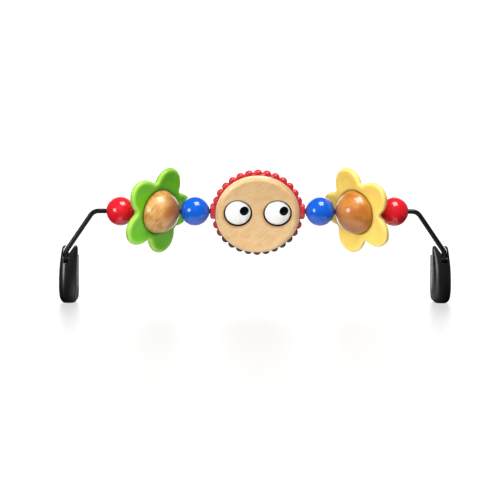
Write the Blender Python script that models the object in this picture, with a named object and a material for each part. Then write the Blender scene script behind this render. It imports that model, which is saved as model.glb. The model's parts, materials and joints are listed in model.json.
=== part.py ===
"""A toy bar for a baby bouncer.

A bent steel rod carries seven wooden and plastic toys, each free to turn on it, and ends in two
eyes. A C-shaped clip swings on a pin through each eye and snaps onto a side tube of the bouncer.
The bar is shown standing on the feet of its clips.

Metres, +Z up, +X along the bar to the right, -Y to the front. The origin is on the surface the
clips stand on, below the middle of the bar.
"""
import math

import bmesh
import bpy
from mathutils import Matrix, Vector

# Driving sizes: the rod and the row of toys

ROD_DIAMETER = 0.0050
ROD_BEND_RADIUS = 0.0100
ROD_KNEE_RADIUS = 0.0060
ROD_END_CLEAR = 0.0105      # from the last bead to the corner where the rod turns down
ROW_SLIDE = 0.0020          # the washers hold the row of toys this far right of the rod's middle
LEG_SPREAD = 0.0279         # how far a leg leans outward on its way down
LEG_DROP = 0.0408           # from the bar to the knee above the clip
KNEE_RISE = 0.0079          # from the pivot pin to the knee
ROD_EYE_WALL = 0.0017
ROD_EYE_WIDTH = 0.0044
BAR_OFFSET = -0.0002        # the rod's plane, from the middle of the whole bar's depth

RUNNING_GAP = 0.0003        # between a piece and what it turns on or sits in
TOY_GAP = 0.0003            # between neighbours on the rod

BEAD_DIAMETER = 0.0300
BALL_DIAMETER = 0.0450
WASHER_DIAMETER = 0.0090
WASHER_THICKNESS = 0.0010
WASHER_DEPTH = 0.0019       # how far inside the red bead the retaining washer grips

# Driving sizes: the flowers

FLOWER_TURN = math.radians(44.5)            # from facing the front toward the middle of the bar
FLOWER_TILT = math.radians(17.6)            # and then down
# how far the first petal is turned from straight up toward the middle
FLOWER_PHASE = {"left": math.radians(28.6), "right": math.radians(24.4)}
PETALS = 5
PETAL_CENTRE = 0.0258
PETAL_HALF_LENGTH = 0.0204
PETAL_HALF_WIDTH = 0.0175
PETAL_LEAN = math.radians(2.4)
PETAL_LIFT = 0.0008
PETAL_RIM = 0.0060
PETAL_FLOOR = 0.0034
WEB_RADIUS = 0.0320
HUB_FRONT = 0.0025
HUB_THICKNESS = 0.0054
GROOVE_DEPTH = 0.0022

# Driving sizes: the face

FACE_TILT = math.radians(22.0)
FACE_DROP = 0.0016          # the middle of the face below the rod, so that it hangs upright
DISC_DIAMETER = 0.0856
DISC_HALF_THICKNESS = 0.0085
DISC_EDGE_ROUND = 0.0044
DISC_RIDGE = math.radians(50.0)   # how far round the edge goes before it meets the flat face
SPIGOT_RADIUS = 0.0297
RING_THICKNESS = 0.0070
RING_EDGE = 0.0017
SCALLOP_RADIUS = 0.0045
SCALLOP_CIRCLE = 0.0430
SCALLOP_PLACES = 30         # places around the ring, of which a boss takes two at each side
BOSS_REACH = 0.0483
BOSS_HALF_HEIGHT = 0.0086
BOSS_HALF_DEPTH = 0.0052

EYE_RADIUS = 0.0130
EYE_SPREAD = 0.0201
EYE_RAISE = 0.0030
EYE_POCKET_DEPTH = 0.0022
EYE_POCKET_CLEAR = 0.0013
EYE_RIM = 0.0009
EYE_CROWN = 0.0042
PUPIL_RADIUS = 0.00465
PUPIL_OFFSET = 0.0074
PUPIL_ANGLE = math.radians(28.0)
PUPIL_THICKNESS = 0.0013
EYE_PIN_RADIUS = 0.0018
EYE_PIN_HEAD_RADIUS = 0.0030
EYE_PIN_HEAD = 0.0011
EYE_PIN_GRIP = 0.0028
EYE_SNAP_LIP = 0.0009

SCREW_RADIUS = 0.0015
SCREW_HEAD_RADIUS = 0.0030
SCREW_HEAD = 0.0018
SCREW_GRIP = 0.0038
SCREW_SPREAD = 0.0150

# Driving sizes: the clips

CLIP_HEIGHT = 0.0585
CLIP_JAW_HEIGHT = 0.0479
CLIP_PIVOT_HEIGHT = 0.0450
CLIP_OUTER_REACH = 0.0076   # reaches are measured from the rod's upright end
CLIP_SIDE_TAPER = 0.0040
CLIP_INNER_REACH = 0.0113
CLIP_LIP_REACH = 0.0118
CLIP_FRONT_REACH = 0.0076
CLIP_FRONT_TAPER = 0.0068
CLIP_STEP = 0.0005
CLIP_WALL = 0.0032
JAW_RADIUS = 0.0072
JAW_MOUTH = 0.0110
JAW_CENTRE_INSET = 0.0062
CLIP_FRONT_CORNER = 0.0056
CLIP_OUTER_CORNER = 0.0080
CLIP_LIP_CORNER = 0.0046
FOOT_ROUND = 0.0070
FOOT_SIDE_INSET = 0.0044
FOOT_FRONT_INSET = 0.0022
FOOT_BACK_INSET = 0.0014
TOP_ROUND = 0.0034
TOP_SIDE_INSET = 0.0018
TOP_FRONT_INSET = 0.0006
GROOVE_CLEAR = 0.0004       # between the rod's end and its groove in the clip
GROOVE_WALL = 0.0015        # left between the groove and the jaw
PRONG_WALL = 0.0012         # left behind the groove, above the jaw
SLOT_INNER_CLEAR = 0.0013   # between the leg and the fork of the clip
SLOT_OUTER_CLEAR = 0.0006
PIVOT_PIN_RADIUS = 0.0014
PIVOT_PIN_INNER = 0.0090
PIVOT_PIN_OUTER = 0.0050

OVERRUN = 0.0100            # how far a cut runs past the piece

# Numbers of sides and steps

ROD_SIDES = 12
BEAD_SIDES = 22
BEAD_STEPS = 10
BALL_SIDES = 26
BALL_STEPS = 6
SMALL_SIDES = 12
EYE_SIDES = 24
DISC_SIDES = 42
PETAL_POINTS = 14
SWING_STEPS = 9
BEND_STEPS = 5
CORNER_STEPS = 4

# Sizes worked out from those above

rod_radius = ROD_DIAMETER / 2
bore_radius = rod_radius + RUNNING_GAP
bead_radius = BEAD_DIAMETER / 2
ball_radius = BALL_DIAMETER / 2
blue_x = BOSS_REACH + TOY_GAP + bead_radius
ball_x = blue_x + bead_radius + TOY_GAP + ball_radius
red_x = ball_x + ball_radius + TOY_GAP + bead_radius
corner_x = red_x + bead_radius + ROD_END_CLEAR
knee_x = corner_x + LEG_SPREAD
knee_z = CLIP_PIVOT_HEIGHT + KNEE_RISE
bar_z = knee_z + LEG_DROP
leg_angle = math.atan2(LEG_SPREAD, LEG_DROP)
pin_bore_radius = PIVOT_PIN_RADIUS + RUNNING_GAP
rod_eye_radius = pin_bore_radius + ROD_EYE_WALL
groove_half = rod_radius + GROOVE_CLEAR
groove_floor = rod_eye_radius + GROOVE_CLEAR
jaw_y = groove_floor + GROOVE_WALL + JAW_RADIUS
hub_back = HUB_FRONT - HUB_THICKNESS
groove_radius = math.sqrt(ball_radius ** 2 - HUB_FRONT ** 2) - GROOVE_DEPTH
hub_radius = groove_radius + RUNNING_GAP
ring_half = RING_THICKNESS / 2
disc_radius = DISC_DIAMETER / 2
flange_z = ring_half + RUNNING_GAP
pocket_floor = DISC_HALF_THICKNESS - EYE_POCKET_DEPTH
eye_base = pocket_floor + RUNNING_GAP
eye_sphere = (EYE_RADIUS ** 2 + EYE_CROWN ** 2) / (2 * EYE_CROWN)
eye_sphere_z = eye_base + EYE_RIM + EYE_CROWN - eye_sphere


# Building blocks

def frame(name, location, rotation=None, parent=None):
    """An empty that pieces are parented to; its origin lies on their joint's axis."""
    empty = bpy.data.objects.new(name, None)
    bpy.context.collection.objects.link(empty)
    empty.parent = parent
    turn = rotation.to_4x4() if rotation else Matrix.Identity(4)
    empty.matrix_local = Matrix.Translation(location) @ turn
    return empty


def paint(name, colour, roughness, metallic=0.0):
    material = bpy.data.materials.new(name)
    material.use_nodes = True
    shader = material.node_tree.nodes["Principled BSDF"]
    shader.inputs["Base Color"].default_value = (*colour, 1.0)
    shader.inputs["Roughness"].default_value = roughness
    shader.inputs["Metallic"].default_value = metallic
    material.diffuse_color = (*colour, 1.0)
    return material


def solid(name, bm, parent=None, material=None):
    """A closed mesh as an object, its faces turned outward; without a material it is a cutter."""
    bmesh.ops.recalc_face_normals(bm, faces=bm.faces)
    if bm.calc_volume(signed=True) < 0:
        bmesh.ops.reverse_faces(bm, faces=bm.faces)
    mesh = bpy.data.meshes.new(name)
    bm.to_mesh(mesh)
    bm.free()
    piece = bpy.data.objects.new(name, mesh)
    bpy.context.collection.objects.link(piece)
    piece.parent = parent
    if material:
        mesh.materials.append(material)
        mesh.shade_smooth()
        mesh.set_sharp_from_angle(angle=math.radians(40.0))
    else:
        piece.hide_render = True
        piece.display_type = "WIRE"
    return piece


def combine(piece, other, operation="DIFFERENCE"):
    modifier = piece.modifiers.new(other.name, "BOOLEAN")
    modifier.operation = operation
    modifier.object = other
    modifier.solver = "EXACT"


def skin(rings, closed=False):
    """A mesh through rings of equally many points; closed joins the last ring to the first.

    A ring of one point is a pole. The first and last rings are filled unless closed.
    """
    bm = bmesh.new()
    made = [[bm.verts.new(point) for point in ring] for ring in rings]
    pairs = list(zip(made, made[1:]))
    if closed:
        pairs.append((made[-1], made[0]))
    for low, high in pairs:
        count = max(len(low), len(high))
        for i in range(count):
            j = (i + 1) % count
            if len(low) == 1:
                bm.faces.new((low[0], high[i], high[j]))
            elif len(high) == 1:
                bm.faces.new((low[i], high[0], low[j]))
            else:
                bm.faces.new((low[i], high[i], high[j], low[j]))
    if not closed:
        for end in (made[0], made[-1]):
            if len(end) > 2:
                bm.faces.new(end)
    return bm


def circle(radius, height, sides):
    turns = [math.tau * i / sides for i in range(sides)]
    return [Vector((radius * math.cos(t), radius * math.sin(t), height)) for t in turns]


def turned(profile, sides, closed=False):
    """A profile of (radius, height) points turned about Z; closed where it is bored through."""
    rings = []
    for radius, height in profile:
        pole = [Vector((0, 0, height))]
        rings.append(circle(radius, height, sides) if radius > 0 else pole)
    return skin(rings, closed)


def arc(centre, radius, start, end, steps, depth=None):
    """Points (x, y) along an arc, both ends included; depth makes it oval in y."""
    tall = depth or radius
    points = []
    for i in range(steps + 1):
        angle = start + (end - start) * i / steps
        points.append((centre[0] + radius * math.cos(angle), centre[1] + tall * math.sin(angle)))
    return points


def along_x(bm):
    """Turn a mesh made about Z so that its axis runs along X."""
    bmesh.ops.transform(bm, matrix=Matrix.Rotation(math.radians(90.0), 4, "Y"), verts=bm.verts)
    return bm


def rod_of(radius, start, end, sides=SMALL_SIDES):
    """A plain cylinder along Z from start to end."""
    return turned([(radius, start), (radius, end)], sides)


def box(low, high):
    bm = bmesh.new()
    bmesh.ops.create_cube(bm, size=1.0)
    size = Vector(high) - Vector(low)
    middle = (Vector(high) + Vector(low)) / 2
    bmesh.ops.transform(bm, matrix=Matrix.Translation(middle) @ Matrix.Diagonal((*size, 1.0)), verts=bm.verts)
    return bm


# The rod

def rounded_path(corners, radii):
    """Points along straight runs with an arc of the given radius at each inner corner."""
    points = [corners[0]]
    for i, radius in enumerate(radii, start=1):
        before = (corners[i - 1] - corners[i]).normalized()
        after = (corners[i + 1] - corners[i]).normalized()
        half = before.angle(after) / 2
        centre = corners[i] + (before + after).normalized() * radius / math.sin(half)
        start = corners[i] + before * radius / math.tan(half) - centre
        end = corners[i] + after * radius / math.tan(half) - centre
        sweep = start.angle(end)
        across = (end - start * math.cos(sweep)) / math.sin(sweep)
        for step in range(BEND_STEPS + 1):
            angle = sweep * step / BEND_STEPS
            points.append(centre + start * math.cos(angle) + across * math.sin(angle))
    points.append(corners[-1])
    return points


def swept(path, radius, sides):
    """A round bar along a path that lies in the XZ plane."""
    rings = []
    for i, point in enumerate(path):
        tangent = (path[min(i + 1, len(path) - 1)] - path[max(i - 1, 0)]).normalized()
        up = tangent.cross(Vector((0, 1, 0)))
        turns = [math.tau * k / sides for k in range(sides)]
        rings.append([point + radius * (math.cos(t) * up + math.sin(t) * Vector((0, 1, 0))) for t in turns])
    return skin(rings)


def make_rod(bar):
    """One steel rod from eye to eye, bent down and out at both ends of the row of toys."""
    tube_end = CLIP_PIVOT_HEIGHT + pin_bore_radius + RUNNING_GAP
    half = [(knee_x, tube_end), (knee_x, knee_z), (corner_x, bar_z)]
    corners = [Vector((-x, 0, z)) for x, z in half] + [Vector((x, 0, z)) for x, z in reversed(half)]
    radii = [ROD_KNEE_RADIUS, ROD_BEND_RADIUS, ROD_BEND_RADIUS, ROD_KNEE_RADIUS]
    steel = paint("black_enamel", (0.012, 0.012, 0.013), 0.3)
    rod = solid("rod", swept(rounded_path(corners, radii), rod_radius, ROD_SIDES), bar, steel)
    for side, name in ((-1, "left"), (1, "right")):
        place = frame(name + "_rod_end", (side * knee_x, 0, CLIP_PIVOT_HEIGHT), parent=bar)
        half_width = ROD_EYE_WIDTH / 2
        eye = along_x(rod_of(rod_eye_radius, -half_width, half_width, ROD_SIDES * 2))
        combine(rod, solid(name + "_rod_eye_form", eye, place), "UNION")
        bore = along_x(rod_of(pin_bore_radius, -OVERRUN, OVERRUN))
        combine(rod, solid(name + "_rod_eye_bore", bore, place))


# The beads

def make_bead(name, x, bar_frame, material, washer_side=0):
    """A drilled bead; the outer ones are counterbored for the washer that keeps the row on."""
    pivot = frame(name + "_axis", (x, 0, 0), parent=bar_frame)
    end_angle = math.acos(bore_radius / bead_radius)
    ball = arc((0, 0), bead_radius, end_angle, -end_angle, BEAD_STEPS)
    bead = solid(name, along_x(turned(ball, BEAD_SIDES, closed=True)), pivot, material)
    if washer_side:
        mouth = WASHER_DIAMETER / 2 + RUNNING_GAP
        bottom = bead_radius - WASHER_DEPTH - RUNNING_GAP
        ends = sorted((washer_side * bottom, washer_side * (bead_radius + OVERRUN)))
        combine(bead, solid(name + "_counterbore", along_x(rod_of(mouth, *ends)), pivot))


def make_washer(name, side, bar_frame):
    """A toothed push-on washer, hidden in the outer face of the last bead."""
    start = red_x + bead_radius - WASHER_DEPTH
    outer = WASHER_DIAMETER / 2
    profile = [(bore_radius, start), (outer, start), (outer, start + WASHER_THICKNESS),
               (bore_radius, start + WASHER_THICKNESS)]
    washer = turned([(r, side * h) for r, h in profile], SMALL_SIDES, closed=True)
    steel = paint(name + "_steel", (0.55, 0.56, 0.57), 0.35, 1.0)
    solid(name, along_x(washer), bar_frame, steel)


# The flowers on their wooden balls

def make_ball(name, plane, pivot, material):
    """A wooden ball, drilled for the rod and grooved around for the flower's hub."""
    front = HUB_FRONT + RUNNING_GAP
    back = hub_back - RUNNING_GAP
    front_angle = math.asin(front / ball_radius)
    back_angle = math.asin(back / ball_radius)
    quarter = math.radians(90.0)
    upper = arc((0, 0), ball_radius, quarter, front_angle, BALL_STEPS)
    lower = arc((0, 0), ball_radius, back_angle, -quarter, BALL_STEPS)
    upper[0] = (0, ball_radius)
    lower[-1] = (0, -ball_radius)
    profile = upper + [(groove_radius, front), (groove_radius, back)] + lower
    ball = solid(name, turned(profile, BALL_SIDES), plane, material)
    length = ball_radius + OVERRUN
    combine(ball, solid(name + "_bore", along_x(rod_of(bore_radius, -length, length)), pivot))


def petal_edge(angle):
    """The flower's outline: how far it reaches at this angle from a petal's own middle line."""
    half_pitch = math.pi / PETALS
    off = (angle + half_pitch) % (2 * half_pitch) - half_pitch
    c, s = math.cos(off), math.sin(off)
    a, b, r = PETAL_HALF_LENGTH, PETAL_HALF_WIDTH, PETAL_CENTRE
    slope = (c / a) ** 2 + (s / b) ** 2
    inside = (r * c / a ** 2) ** 2 - slope * ((r / a) ** 2 - 1)
    if inside <= 0:
        return WEB_RADIUS
    return max(WEB_RADIUS, (r * c / a ** 2 + math.sqrt(inside)) / slope)


def make_flower(name, plane, turn, material):
    """Five dished petals with round rims, moulded on a hub that snaps into the ball's groove."""
    hub_middle = (HUB_FRONT + hub_back) / 2
    floor_half = PETAL_FLOOR / 2
    rim_half = PETAL_RIM / 2
    floor_drop = rim_half - floor_half
    # share of the way from hub to edge, height above the middle surface, share of the petal's lean
    section_shares = ((0.10, HUB_THICKNESS / 2, 0.0), (0.40, floor_half - floor_drop / 2, 0.7),
                      (0.78, floor_half - floor_drop / 2, 1.0), (0.89, rim_half, 1.0),
                      (0.97, rim_half / 2, 1.0), (1.0, 0.0, 1.0), (0.97, -rim_half / 2, 1.0),
                      (0.89, -rim_half, 1.0), (0.40, -rim_half, 0.7), (0.10, -HUB_THICKNESS / 2, 0.0))
    count = PETALS * PETAL_POINTS
    angles = [math.tau * i / count for i in range(count)]
    rings = [circle(hub_radius, hub_back, count), circle(hub_radius, HUB_FRONT, count)]
    for out, above, lean in section_shares:
        ring = []
        for angle in angles:
            radius = hub_radius + (petal_edge(angle) - hub_radius) * out
            leaned = PETAL_LIFT - (radius - PETAL_CENTRE) * math.tan(PETAL_LEAN)
            height = hub_middle + (leaned - hub_middle) * lean + above
            ring.append(Vector((radius * math.cos(angle), radius * math.sin(angle), height)))
        rings.append(ring)
    bm = skin(rings, closed=True)
    bmesh.ops.transform(bm, matrix=Matrix.Rotation(turn, 4, "Z"), verts=bm.verts)
    solid(name, bm, plane, material)


def make_flower_toy(name, side, bar_frame, wood, plastic, ball_name, flower_name):
    """The ball and its flower turn on the rod together; the flower's plane is set askew on it."""
    pivot = frame(name + "_axis", (side * ball_x, 0, 0), parent=bar_frame)
    word = name.split("_")[0]
    facing = Matrix.Rotation(math.radians(90.0) + FLOWER_TILT, 3, "X")
    facing = facing @ Matrix.Rotation(-side * FLOWER_TURN, 3, "Y")
    plane = frame(name + "_plane", (0, 0, 0), facing, pivot)
    make_ball(ball_name, plane, pivot, wood)
    make_flower(flower_name, plane, math.radians(90.0) + side * FLOWER_PHASE[word], plastic)


# The face

def ring_outline(edge):
    """The scalloped outline as (x, y) points; edge draws it in, for the softened edges.

    Its flat at each side stays inside the boss, which is centred on the rod.
    """
    points = []
    pitch = math.tau / SCALLOP_PLACES
    swing_shares = (-0.44, -0.16, 0.16, 0.44)
    boss_x = BOSS_REACH - SCALLOP_RADIUS / 2 - edge
    boss_y = BOSS_HALF_HEIGHT - FACE_DROP - edge
    for end in (0, 1):
        turn = Matrix.Rotation(math.pi * end, 2)
        boss = [(boss_x - SCALLOP_RADIUS / 2, -boss_y), (boss_x, -boss_y / 2), (boss_x, boss_y / 2),
                (boss_x - SCALLOP_RADIUS / 2, boss_y)]
        points += [turn @ Vector(p) for p in boss]
        for place in range(1, SCALLOP_PLACES // 2 - 1):
            middle = pitch * (place + 1 / 2)
            centre = SCALLOP_CIRCLE * Vector((math.cos(middle), math.sin(middle)))
            for share in swing_shares:
                angle = middle + math.pi * share
                lobe = (SCALLOP_RADIUS - edge) * Vector((math.cos(angle), math.sin(angle)))
                points.append(turn @ (centre + lobe))
    return points


def make_ring(plane, pivot, material):
    """The red ring between the two wooden discs: scallops all round and a boss at each side."""
    outlines = [(RING_EDGE, ring_half), (0, ring_half - RING_EDGE),
                (0, RING_EDGE - ring_half), (RING_EDGE, -ring_half)]
    rings = [[Vector((*p, height)) for p in ring_outline(edge)] for edge, height in outlines]
    inner = SPIGOT_RADIUS + RUNNING_GAP
    for height in (-ring_half, ring_half):
        hole = [Vector((p.x, p.y, 0)).normalized() * inner for p in rings[0]]
        rings.append([Vector((p.x, p.y, height)) for p in hole])
    ring = solid("scalloped_ring", skin(rings, closed=True), plane, material)
    for side, name in ((-1, "left"), (1, "right")):
        start = disc_radius + RUNNING_GAP
        section = [(1.0, start), (1.0, BOSS_REACH - RING_EDGE), (1 - RING_EDGE / BOSS_HALF_DEPTH, BOSS_REACH)]
        stations = []
        for share, x in section:
            turns = [math.tau * i / SMALL_SIDES for i in range(SMALL_SIDES)]
            stations.append([Vector((side * x, FACE_DROP + share * BOSS_HALF_HEIGHT * math.cos(t),
                                     share * BOSS_HALF_DEPTH * math.sin(t))) for t in turns])
        combine(ring, solid(name + "_boss_form", skin(stations), plane), "UNION")
    length = BOSS_REACH + OVERRUN
    combine(ring, solid("ring_bore", along_x(rod_of(bore_radius, -length, length)), pivot))


def disc_profile():
    """Half of a disc, cut from its middle outward: flat face, a ridge, round edge and spigot."""
    steps = 4
    edge = []
    for i in range(steps + 1):
        angle = DISC_RIDGE * (1 - i / steps)
        inward = (1 - math.cos(angle)) / (1 - math.cos(DISC_RIDGE))
        upward = math.sin(angle) / math.sin(DISC_RIDGE)
        edge.append((disc_radius - DISC_EDGE_ROUND * inward,
                     flange_z + (DISC_HALF_THICKNESS - flange_z) * upward))
    joint = RUNNING_GAP / 2
    return [(0, DISC_HALF_THICKNESS)] + edge + [(SPIGOT_RADIUS, flange_z), (SPIGOT_RADIUS, joint), (0, joint)]


def make_disc(name, facing, plane, pivot, material):
    """A wooden disc with a spigot that fits the ring and a channel for the rod."""
    profile = [(r, facing * h) for r, h in disc_profile()]
    disc = solid(name, turned(profile, DISC_SIDES), plane, material)
    length = disc_radius + OVERRUN
    combine(disc, solid(name + "_channel", along_x(rod_of(bore_radius, -length, length)), pivot))
    return disc


def make_eye(name, side, plane, front_disc, enamel, black):
    """A domed eye that turns on a headed pin, with its pupil set into it off centre."""
    centre = (side * EYE_SPREAD, EYE_RAISE, 0)
    pivot = frame(name + "_axis", centre, parent=plane)
    dome = []
    steps = 6
    rim_angle = math.asin(EYE_RADIUS / eye_sphere)
    for i in range(steps + 1):
        angle = rim_angle * i / steps
        dome.append((eye_sphere * math.sin(angle), eye_sphere_z + eye_sphere * math.cos(angle)))
    throat = EYE_PIN_RADIUS + RUNNING_GAP
    cavity = EYE_PIN_HEAD_RADIUS + RUNNING_GAP
    lip = eye_base + EYE_SNAP_LIP
    roof = lip + EYE_PIN_HEAD + 2 * RUNNING_GAP
    dome += [(EYE_RADIUS, eye_base), (throat, eye_base), (throat, lip), (cavity, lip), (cavity, roof),
             (0, roof)]
    eye = solid(name, turned(dome, EYE_SIDES), pivot, enamel)

    tilt = math.asin(PUPIL_OFFSET / eye_sphere)
    aim = Matrix.Rotation(PUPIL_ANGLE, 3, "Z") @ Matrix.Rotation(tilt, 3, "Y")
    seat = frame(name + "_pupil_seat", (0, 0, eye_sphere_z), aim, pivot)
    edge_angle = math.asin(PUPIL_RADIUS / eye_sphere)
    bottom = eye_sphere * math.cos(edge_angle) - PUPIL_THICKNESS
    cap = [(0, eye_sphere)]
    cap += [(eye_sphere * math.sin(a), eye_sphere * math.cos(a)) for a in (edge_angle / 2, edge_angle)]
    cap += [(PUPIL_RADIUS, bottom), (0, bottom)]
    solid(name.replace("eye", "pupil"), turned(cap, SMALL_SIDES), seat, black)
    pocket = rod_of(PUPIL_RADIUS + RUNNING_GAP, bottom - RUNNING_GAP, eye_sphere + OVERRUN, SMALL_SIDES)
    combine(eye, solid(name + "_pupil_pocket", pocket, seat))

    well = rod_of(EYE_RADIUS + EYE_POCKET_CLEAR, pocket_floor, DISC_HALF_THICKNESS + OVERRUN, EYE_SIDES)
    combine(front_disc, solid(name + "_well", well, pivot))
    foot = pocket_floor - EYE_PIN_GRIP
    hole = rod_of(throat, foot - RUNNING_GAP, DISC_HALF_THICKNESS)
    combine(front_disc, solid(name + "_pin_hole", hole, pivot))
    head = lip + RUNNING_GAP
    pin = [(0, foot), (EYE_PIN_RADIUS, foot), (EYE_PIN_RADIUS, head), (EYE_PIN_HEAD_RADIUS, head),
           (EYE_PIN_HEAD_RADIUS, head + EYE_PIN_HEAD), (0, head + EYE_PIN_HEAD)]
    steel = paint(name + "_pin_steel", (0.6, 0.6, 0.6), 0.35, 1.0)
    solid(name.replace("eye", "eye_pin"), turned(pin, SMALL_SIDES), pivot, steel)


def make_screw(name, x, y, plane, discs):
    """A countersunk wood screw, driven from behind, that clamps the two discs on the ring."""
    place = frame(name + "_axis", (x, y, 0), parent=plane)
    face = -DISC_HALF_THICKNESS
    cone = face + SCREW_HEAD
    profile = [(0, face), (SCREW_HEAD_RADIUS, face), (SCREW_RADIUS, cone), (SCREW_RADIUS, SCREW_GRIP),
               (0, SCREW_GRIP + SCREW_RADIUS)]
    steel = paint(name + "_steel", (0.62, 0.62, 0.6), 0.32, 1.0)
    solid(name, turned(profile, SMALL_SIDES), place, steel)
    wide = SCREW_RADIUS + RUNNING_GAP
    mouth = SCREW_HEAD_RADIUS + RUNNING_GAP
    slope = (SCREW_HEAD_RADIUS - SCREW_RADIUS) / SCREW_HEAD
    outside = face - RUNNING_GAP
    hole = [(0, outside), (mouth + slope * RUNNING_GAP, outside), (wide, cone + RUNNING_GAP / 2),
            (wide, SCREW_GRIP + RUNNING_GAP), (0, SCREW_GRIP + SCREW_RADIUS + 2 * RUNNING_GAP)]
    cutter = solid(name + "_hole", turned(hole, SMALL_SIDES), place)
    for disc in discs:
        combine(disc, cutter)


def make_face(bar_frame, wood, red, enamel, black):
    """Two wooden discs and the ring between them turn on the rod as one."""
    pivot = frame("face_axis", (0, 0, 0), parent=bar_frame)
    facing = Matrix.Rotation(math.radians(90.0) + FACE_TILT, 3, "X")
    plane = frame("face_plane", facing @ Vector((0, -FACE_DROP, 0)), facing, pivot)
    make_ring(plane, pivot, red)
    front = make_disc("face_front_disc", 1, plane, pivot, wood)
    back = make_disc("face_back_disc", -1, plane, pivot, wood)
    for side, name in ((-1, "left_eye"), (1, "right_eye")):
        make_eye(name, side, plane, front, enamel, black)
    corners = ((-1, 1), (1, 1), (1, -1), (-1, -1))
    for number, (across, up) in enumerate(corners, start=1):
        make_screw(f"face_screw_{number}", across * SCREW_SPREAD, up * SCREW_SPREAD, plane, (front, back))


# The clips

def clip_outline(side, height, side_inset, front_inset, back_inset):
    """The clip cut level at this height above its foot, in the frame of its pivot."""
    side_middle_share = 0.35
    front_middle_share = 0.37
    height_share = height / CLIP_HEIGHT
    narrowing = ((height_share - side_middle_share) / (1 - side_middle_share)) ** 2
    thinning = ((height_share - front_middle_share) / (1 - front_middle_share)) ** 2
    outer = CLIP_OUTER_REACH - CLIP_SIDE_TAPER * narrowing - side_inset
    front = CLIP_FRONT_TAPER * thinning - CLIP_FRONT_REACH + front_inset
    inner = side_inset - CLIP_INNER_REACH
    lip = side_inset - CLIP_LIP_REACH
    back = jaw_y + JAW_RADIUS + CLIP_WALL - back_inset
    quarter = math.radians(90.0)
    r = CLIP_FRONT_CORNER - side_inset / 2
    depth = CLIP_STEP - front
    points = arc((inner + r, CLIP_STEP), r, 2 * quarter, 3 * quarter, CORNER_STEPS, depth)
    points += arc((outer - r, CLIP_STEP), r, 3 * quarter, 4 * quarter, CORNER_STEPS, depth)
    r = CLIP_OUTER_CORNER - side_inset
    points += arc((outer - r, back - r), r, 0, quarter, CORNER_STEPS)
    r = CLIP_LIP_CORNER - back_inset
    points += arc((lip + r, back - r), r, quarter, 2 * quarter, CORNER_STEPS)
    points += [(lip, CLIP_STEP)]
    return [Vector((side * x, y, height - CLIP_PIVOT_HEIGHT)) for x, y in points]


def clip_levels():
    """Heights above the foot, with the side, front and back insets that round the two ends."""
    levels = []
    steps = 3
    foot_curve = 1.3
    for i in range(steps + 1):
        inset = (1 - i / steps) ** foot_curve
        levels.append((FOOT_ROUND * i / steps, inset * FOOT_SIDE_INSET,
                       inset * FOOT_FRONT_INSET, inset * FOOT_BACK_INSET))
    shoulder = CLIP_HEIGHT - TOP_ROUND
    between = 5
    for i in range(1, between):
        levels.append((FOOT_ROUND + (shoulder - FOOT_ROUND) * i / between, 0, 0, 0))
    for i in range(steps + 1):
        angle = math.radians(90.0) * i / steps
        inset = 1 - math.cos(angle)
        levels.append((shoulder + TOP_ROUND * math.sin(angle), inset * TOP_SIDE_INSET,
                       inset * TOP_FRONT_INSET, inset * TOP_SIDE_INSET))
    return levels


def leg_silhouette(side, inner_half, outer_half, length):
    """The leaning leg seen from the front, widened: corners from the knee's inner side around."""
    knee = Vector((0, KNEE_RISE))
    up = Vector((-math.sin(leg_angle), math.cos(leg_angle)))
    across = Vector((math.cos(leg_angle), math.sin(leg_angle)))
    inner = knee - across * inner_half
    outer = knee + across * outer_half
    corners = [inner, outer, outer + up * length, inner + up * length]
    return [Vector((side * p.x, p.y)) for p in corners]


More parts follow.
